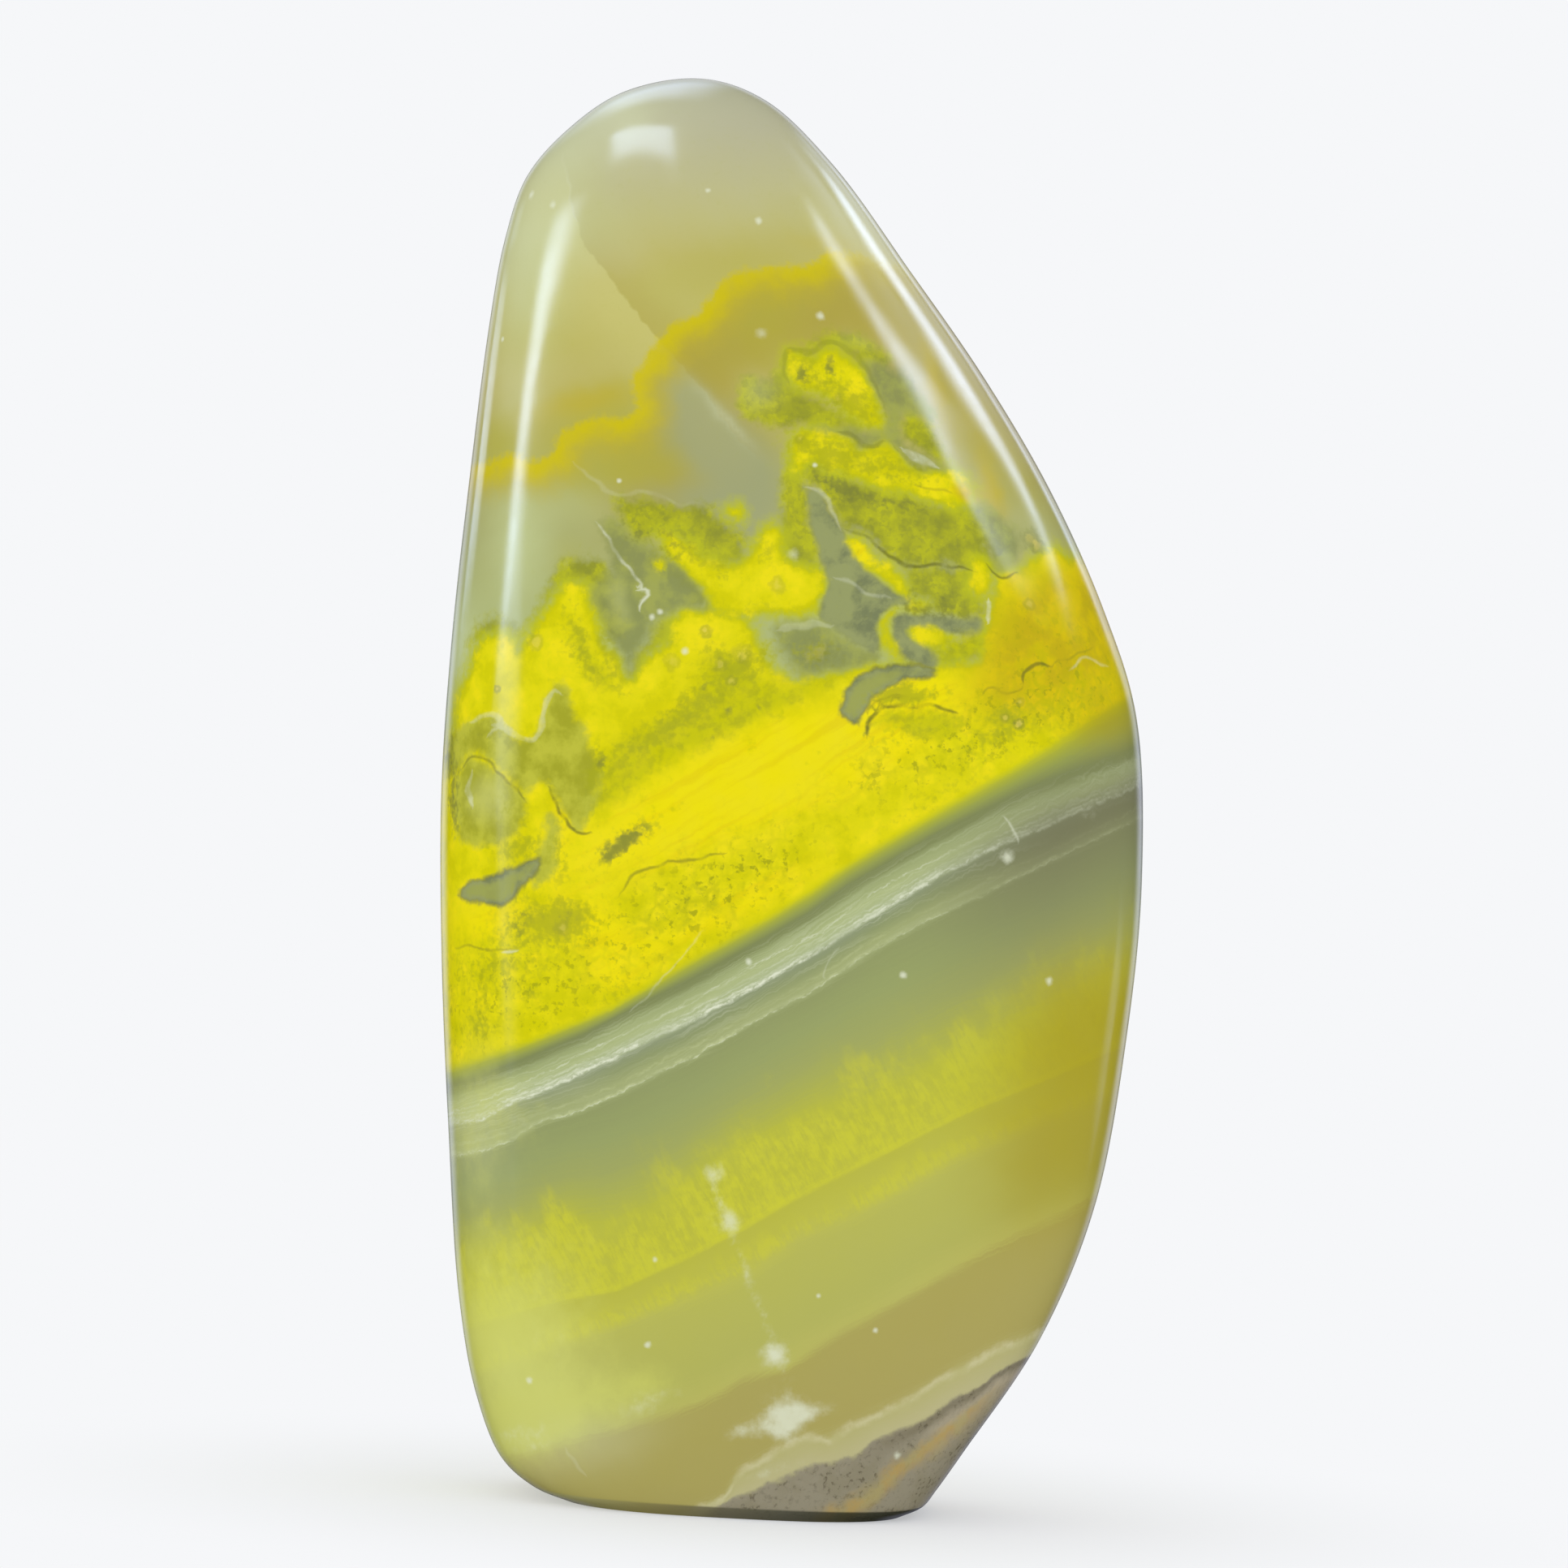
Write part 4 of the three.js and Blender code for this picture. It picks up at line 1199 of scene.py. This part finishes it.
def rock_corner(n, grain):
    """The gritty grey rock at the foot, with a tan stripe and a paler one beside it."""
    number = n.rough(n.field("bed"), grain, fine=0.12, middle=0.3)
    side = n.field("side")
    grey = n.mix(n.ramp(grain["middle"], 0.4, 0.6, 0.0, 0.7), ROCK_GREY, ROCK_GRAIN)
    grey = n.mix(n.all_of(n.near(number, 9.2, 0.4), n.ramp(side, 0.54, 0.58), 0.5), grey, ROCK_DARK)
    grit = n.ramp(n.noise(0.4, 3.0, 0.6), 0.52, 0.68)
    grey = n.mix(n.times(grit, n.ramp(grain["middle"], 0.42, 0.58, 0.7, 0.25)), grey, ROCK_GRIT)
    pale = n.all_of(
        n.near(number, 9.85, 0.7), n.ramp(side, 0.575, 0.61), n.ramp(grain["fine"], 0.3, 0.6, 0.6, 0.95),
    )
    grey = n.mix(pale, grey, ROCK_PALE)
    stripe = n.mix(n.ramp(grain["middle"], 0.42, 0.62, 0.1, 0.9), ROCK_STRIPE, ROCK_ORANGE)
    shown = n.ramp(side, 0.61, 0.645, 0.8, 0.0)
    return n.mix(n.times(n.near(number, 10.0, 0.42), shown), grey, stripe)


def seams(n, paint, grain):
    """Torn white lines along the pale beds, and the cream line above the rock."""
    crinkle = n.rough(0.0, grain, middle=0.32, fine=0.26)
    torn = n.ramp(n.bed_noise(0.9, 0.3, 4.0, 0.7), 0.36, 0.58, 0.15, 1.0)
    patchy = n.ramp(n.bed_noise(6.0, 0.9), 0.38, 0.6, 0.35, 1.0)
    fading = n.ramp(n.field("side"), 0.54, 0.68, 1.0, 0.2)
    main, lower, upper = (n.plus(below, crinkle) for below in n.parts("seams"))
    for below, offset, width, strength, shade in (
        (main, 0.02, 0.28, 0.95, WHITE_VEIN), (main, -0.28, 0.17, 0.65, WHITE_VEIN),
        (main, -0.62, 0.12, 0.4, WHITE_VEIN), (lower, -0.1, 0.24, 0.6, CREAM_GREEN),
        (lower, -0.02, 0.08, 0.4, WHITE_VEIN), (lower, -0.75, 0.2, 0.25, CREAM_GREEN),
        (upper, 0.0, 0.12, 0.45, WHITE_VEIN), (upper, 0.5, 0.3, 0.2, CREAM_GREEN),
    ):
        line = n.all_of(n.near(below, offset, width), torn, patchy, fading, strength)
        paint = n.mix(line, paint, shade)
    cream = n.rough(n.field("cream_seam"), grain, middle=0.3, speckle=0.06)
    cream_line = n.all_of(n.near(cream, 0.1, 0.5), n.ramp(grain["middle"], 0.34, 0.6, 0.1, 0.5))
    return n.mix(cream_line, paint, CREAM)


def veins(n, paint, grain):
    """Thin dark and pale lines, and the milky clouds low down."""
    for name, shade in (("dark", DARK_VEIN), ("pale", WHITE_VEIN)):
        across, half_width, strength = n.parts(name + "_line")
        away = n.math("ABSOLUTE", n.frayed(across, grain["fine"], 0.1))
        beyond = n.math("SUBTRACT", away, n.times(half_width, 0.7))
        past = n.ramp(n.field(name + "_past"), 0.08, 0.3, 1.0, 0.0)
        line = n.times(n.ramp(beyond, -0.1, 0.13, 1.0, 0.0), past)
        broken = n.ramp(grain["middle"], 0.34, 0.54, 0.3, 0.95)
        paint = n.mix(n.all_of(line, strength, broken), paint, shade)
    haze = n.frayed(n.field("haze"), grain["broad"], 0.1)
    paint = n.mix(n.ramp(haze, 0.0, 1.0, 0.0, 0.9), paint, MILKY)
    cloud = n.rough(n.field("cloud"), grain, middle=0.5, fine=0.4)
    cloud = n.times(n.ramp(cloud, 0.05, 1.15, 0.0, 0.8), n.ramp(n.field("cloud"), 0.02, 0.3))
    return n.mix(cloud, paint, WHITE_VEIN)


def spots(n, paint, grain, marks):
    """Small white specks with ragged edges."""
    for centre, radius, strength in marks:
        radii = n.frayed(n.radii_from(centre, radius), grain["fine"], 0.9)
        paint = n.mix(n.ramp(radii, 0.0, 1.7, 0.75 * strength, 0.0), paint, WHITE_VEIN)
    return paint


def rings(n, paint, grain, marks):
    """Small pores: a tan middle with a dark ring round it."""
    for centre, radius, strength in marks:
        radii = n.rough(n.radii_from(centre, radius), grain, fine=0.9, speckle=0.18)
        ring = n.times(n.near(radii, 0.85, 0.75), 0.55 * strength)
        paint = n.mix(ring, paint, DEEP_OLIVE)
        paint = n.mix(n.ramp(radii, 0.2, 0.8, 0.8 * strength, 0.0), paint, PORE_TAN)
    return paint


def foot(n, paint):
    """Painted shade: the chamfer round the sawn base is painted dark as if shadowed, darkest to the right."""
    low = n.ramp(n.field("rise"), 0.8, 1.0, 0.9, 0.0)
    return n.mix(low, paint, n.layers(n.field("side"), FOOT_SHADE_COLOURS))


def stone_bump(n, grain):
    """The polish isn't quite true: slow waves, and a few tiny pits."""
    pits = n.ramp(n.noise(0.7, 2.0, 0.5), 0.72, 0.82)
    waves = n.plus(n.times(grain["broad"], 0.5), n.times(grain["middle"], 0.1))
    height = n.plus(waves, n.times(pits, -0.03))
    return n.add("ShaderNodeBump", {"Height": height, "Strength": 0.25, "Distance": 0.2 * MM}).outputs[0]


def stone_material(specks, pores):
    material = bpy.data.materials.new("bumblebee_jasper")
    material.use_nodes = True
    n = Nodes(material.node_tree)
    grain = grains(n)
    paint = growths(n, upper_rock(n, grain), grain)
    below = n.frayed(n.field("below_yellow"), grain["middle"], 0.3)
    paint = n.mix(n.ramp(below, -0.7, 0.2), paint, banded_rock(n, grain))
    paint = seams(n, paint, grain)
    paint = veins(n, paint, grain)
    paint = rings(n, paint, grain, pores)
    paint = spots(n, paint, grain, specks)
    # painted shade on the chamfer at the foot
    paint = foot(n, paint)
    shader = n.add("ShaderNodeBsdfPrincipled", {
        "Base Color": paint,
        "Roughness": n.ramp(grain["middle"], 0.3, 0.7, 0.11, 0.17),
        "IOR": 1.52,
        "Normal": stone_bump(n, grain),
    })
    output = n.add("ShaderNodeOutputMaterial")
    n.tree.links.new(shader.outputs[0], output.inputs["Surface"])
    return material


def nearest_points(points, marks):
    """The stone's front points that the photograph shows nearest to these marks."""
    front = points[points[:, 1] < 0]
    px, py = in_photo(front)
    found = []
    for x, y, radius, *rest in marks:
        index = int(np.argmin((px - x) ** 2 + (py - y) ** 2))
        found.append((Vector(front[index]) * MM, radius / PIXELS_PER_MM * MM, rest[0] if rest else 1.0))
    return found


def make_camera():
    data = bpy.data.cameras.new("photo_camera")
    data.lens = LENS
    data.sensor_width = SENSOR
    data.clip_start = 0.01
    camera = bpy.data.objects.new("photo_camera", data)
    place, right, up, view = photo_axes()
    turn = Matrix((right, up, -view)).transposed().to_4x4()
    camera.matrix_world = Matrix.Translation(place * MM) @ turn
    bpy.context.scene.collection.objects.link(camera)
    bpy.context.scene.camera = camera


def make_floor():
    """A pale round floor that takes the stone's shadow, glows evenly further out and fades away."""
    steps = 96
    turns = [2 * math.pi * i / steps for i in range(steps)]
    points = [(FLOOR_RADIUS * math.cos(a), FLOOR_RADIUS * math.sin(a), 0) for a in turns]
    mesh = bpy.data.meshes.new("pale_floor")
    mesh.from_pydata(points, [], [list(range(steps))])
    floor = bpy.data.objects.new("pale_floor", mesh)
    bpy.context.scene.collection.objects.link(floor)
    material = bpy.data.materials.new("pale_floor")
    material.use_nodes = True
    n = Nodes(material.node_tree)
    away = n.add("ShaderNodeVectorMath", {0: n.place}, operation="LENGTH").outputs["Value"]
    paint = n.add("ShaderNodeBsdfDiffuse", {"Color": BACKGROUND})
    glow = n.add("ShaderNodeEmission", {"Color": BACKGROUND})
    evenness = n.ramp(away, *EVEN_FLOOR, 0.45, 1.0)
    lit = n.add("ShaderNodeMixShader", {0: evenness, 1: paint.outputs[0], 2: glow.outputs[0]})
    clear = n.add("ShaderNodeBsdfTransparent")
    gone = n.ramp(away, *FLOOR_FADES)
    both = n.add("ShaderNodeMixShader", {0: gone, 1: lit.outputs[0], 2: clear.outputs[0]})
    output = n.add("ShaderNodeOutputMaterial")
    n.tree.links.new(both.outputs[0], output.inputs["Surface"])
    mesh.materials.append(material)
    floor.visible_glossy = False


FLOOR_RADIUS = 0.5
EVEN_FLOOR = (0.018, 0.07)  # distances from the stone's middle between which its shadow dies away
FLOOR_FADES = (0.15, 0.45)
BACKGROUND = colour(246, 247, 249)
SOFT_LIGHT = (1.12, 0.98)  # brightness of the light from all round: level with the stone, and from above
DARK_ROOM = 0.006  # brightness that the polish reflects from the camera's side
RIM_LIGHT = 0.85  # and from a ring round the backdrop, whose middle is dark again
RING = (0.82, 0.93, 0.955, 0.985)  # how far to the back the ring starts, is full, starts to dim and is dim
LOW_DARK = (-0.28, -0.05)  # heights between which the dark under the floor ends
RIM_COLOUR = (0.74, 0.78, 1.0, 1.0)
WINDOW_COLOUR = (0.56, 0.67, 1.0, 1.0)  # cool daylight

# Windows that only the polish sees, as streaks between two directions from the stone: brightness, half width,
# how far they fade on either side and past either end, and how much their ends slant.
WINDOWS = {
    "left": ((-0.968, -0.18, 0.15), (-0.94, -0.187, 0.255), 12.0, 0.03, (0.24, 0.12), (0.06, 0.27), 1.0),
    "left foot": ((-0.985, -0.16, 0.01), (-0.95, -0.28, 0.14), 3.0, 0.02, (0.26, 0.13), (0.05, 0.04), 0.0),
    "far left": ((-0.76, 0.645, 0.065), (-0.6, 0.8, 0.035), 3.0, 0.0, (0.06, 0.05), (0.05, 0.03), 0.0),
    "far left blind": ((-0.74, 0.64, 0.2), (-0.62, 0.77, 0.14), 0.7, 0.0, (0.06, 0.06), (0.06, 0.05), 0.0),
    "small": ((-0.52, -0.215, 0.82), (-0.12, -0.43, 0.9), 8.0, 0.1, (0.07, 0.1), (0.07, 0.07), 0.5),
    "ceiling": ((-0.317, 0.62, 0.71), (-0.08, 0.62, 0.756), 3.0, 0.08, (0.3, 0.42), (0.3, 0.21), 0.0),
    "right": ((0.69, -0.2, 0.70), (0.795, -0.15, 0.59), 13.0, 0.0, (0.16, 0.17), (0.06, 0.07), 0.0),
    "right top": ((0.8, 0.25, 0.54), (0.66, 0.5, 0.54), 10.5, 0.01, (0.11, 0.1), (0.25, 0.22), 0.0),
    "right blind": ((0.76, 0.0, 0.65), (0.7, 0.28, 0.66), 2.2, 0.0, (0.08, 0.2), (0.12, 0.12), 0.0),
    "right edge": ((0.6, 0.62, 0.5), (0.45, 0.8, 0.4), 1.5, 0.02, (0.12, 0.12), (0.08, 0.1), 0.0),
    "far right": ((0.42, 0.89, 0.2), (0.35, 0.9, 0.27), 1.6, 0.0, (0.11, 0.12), (0.12, 0.12), 0.0),
    "low right": ((0.85, 0.52, -0.09), (0.78, 0.62, -0.12), 0.9, 0.0, (0.08, 0.06), (0.08, 0.08), 0.0),
}
SAME_SIDE = (0.3, 0.5)  # cosines between which a window starts to count, so that none is seen on the far side


def window_light(n, direction, start, end, brightness, half_width, side_fades, end_fades, slant):
    """How bright one window is towards a direction."""
    start, end = Vector(start).normalized(), Vector(end).normalized()
    across, along = start.cross(end).normalized(), (end - start).normalized()
    reach = (end - start).length / 2
    beside = n.dot(direction, across)
    ahead = n.dot(direction, along + slant * across)
    return n.all_of(
        n.ramp(beside, -half_width - side_fades[0], -half_width, 0.0, brightness),
        n.ramp(beside, half_width, half_width + side_fades[1], 1.0, 0.0),
        n.ramp(ahead, -reach - end_fades[0], -reach),
        n.ramp(ahead, reach, reach + end_fades[1], 1.0, 0.0),
        n.ramp(n.dot(direction, (start + end).normalized()), *SAME_SIDE),
    )


def make_surroundings():
    """A pale backdrop that lights softly from all round. The polish sees it as a dim room with windows."""
    world = bpy.data.worlds.new("pale_room")
    world.use_nodes = True
    n = Nodes(world.node_tree)
    path = n.add("ShaderNodeLightPath").outputs
    direction = n.add("ShaderNodeTexCoord").outputs["Generated"]
    _, toward_back, height = n.add("ShaderNodeSeparateXYZ", {0: direction}).outputs[:]
    lit_ring = n.ramp(toward_back, *RING[:2], DARK_ROOM, RIM_LIGHT)
    ring = n.times(lit_ring, n.ramp(toward_back, *RING[2:], 1.0, 0.3))
    room = n.times(ring, n.ramp(height, *LOW_DARK, 0.15, 1.0))
    windows = 0.0
    for window in WINDOWS.values():
        windows = n.plus(windows, window_light(n, direction, *window))
    dim = n.add("ShaderNodeBackground", {"Color": RIM_COLOUR, "Strength": room})
    bright = n.add("ShaderNodeBackground", {"Color": WINDOW_COLOUR, "Strength": windows})
    glossy = n.add("ShaderNodeAddShader", {0: dim.outputs[0], 1: bright.outputs[0]})
    softness = n.ramp(height, 0.0, 0.9, *SOFT_LIGHT)
    soft = n.add("ShaderNodeBackground", {"Color": BACKGROUND, "Strength": softness})
    backdrop = n.add("ShaderNodeBackground", {"Color": BACKGROUND, "Strength": 1.0})
    lit = n.add("ShaderNodeMixShader", {0: path["Is Glossy Ray"], 1: soft.outputs[0], 2: glossy.outputs[0]})
    seen = n.add("ShaderNodeMixShader", {0: path["Is Camera Ray"], 1: lit.outputs[0], 2: backdrop.outputs[0]})
    output = n.add("ShaderNodeOutputWorld")
    n.tree.links.new(seen.outputs[0], output.inputs["Surface"])
    bpy.context.scene.world = world


stone, skin = make_stone()
stone.data.materials.append(stone_material(nearest_points(skin, SPECKS), nearest_points(skin, PORES)))
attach(stone, "root")
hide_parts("stone")
make_floor()
make_surroundings()
make_camera()
bpy.context.scene.view_settings.view_transform = "Standard"
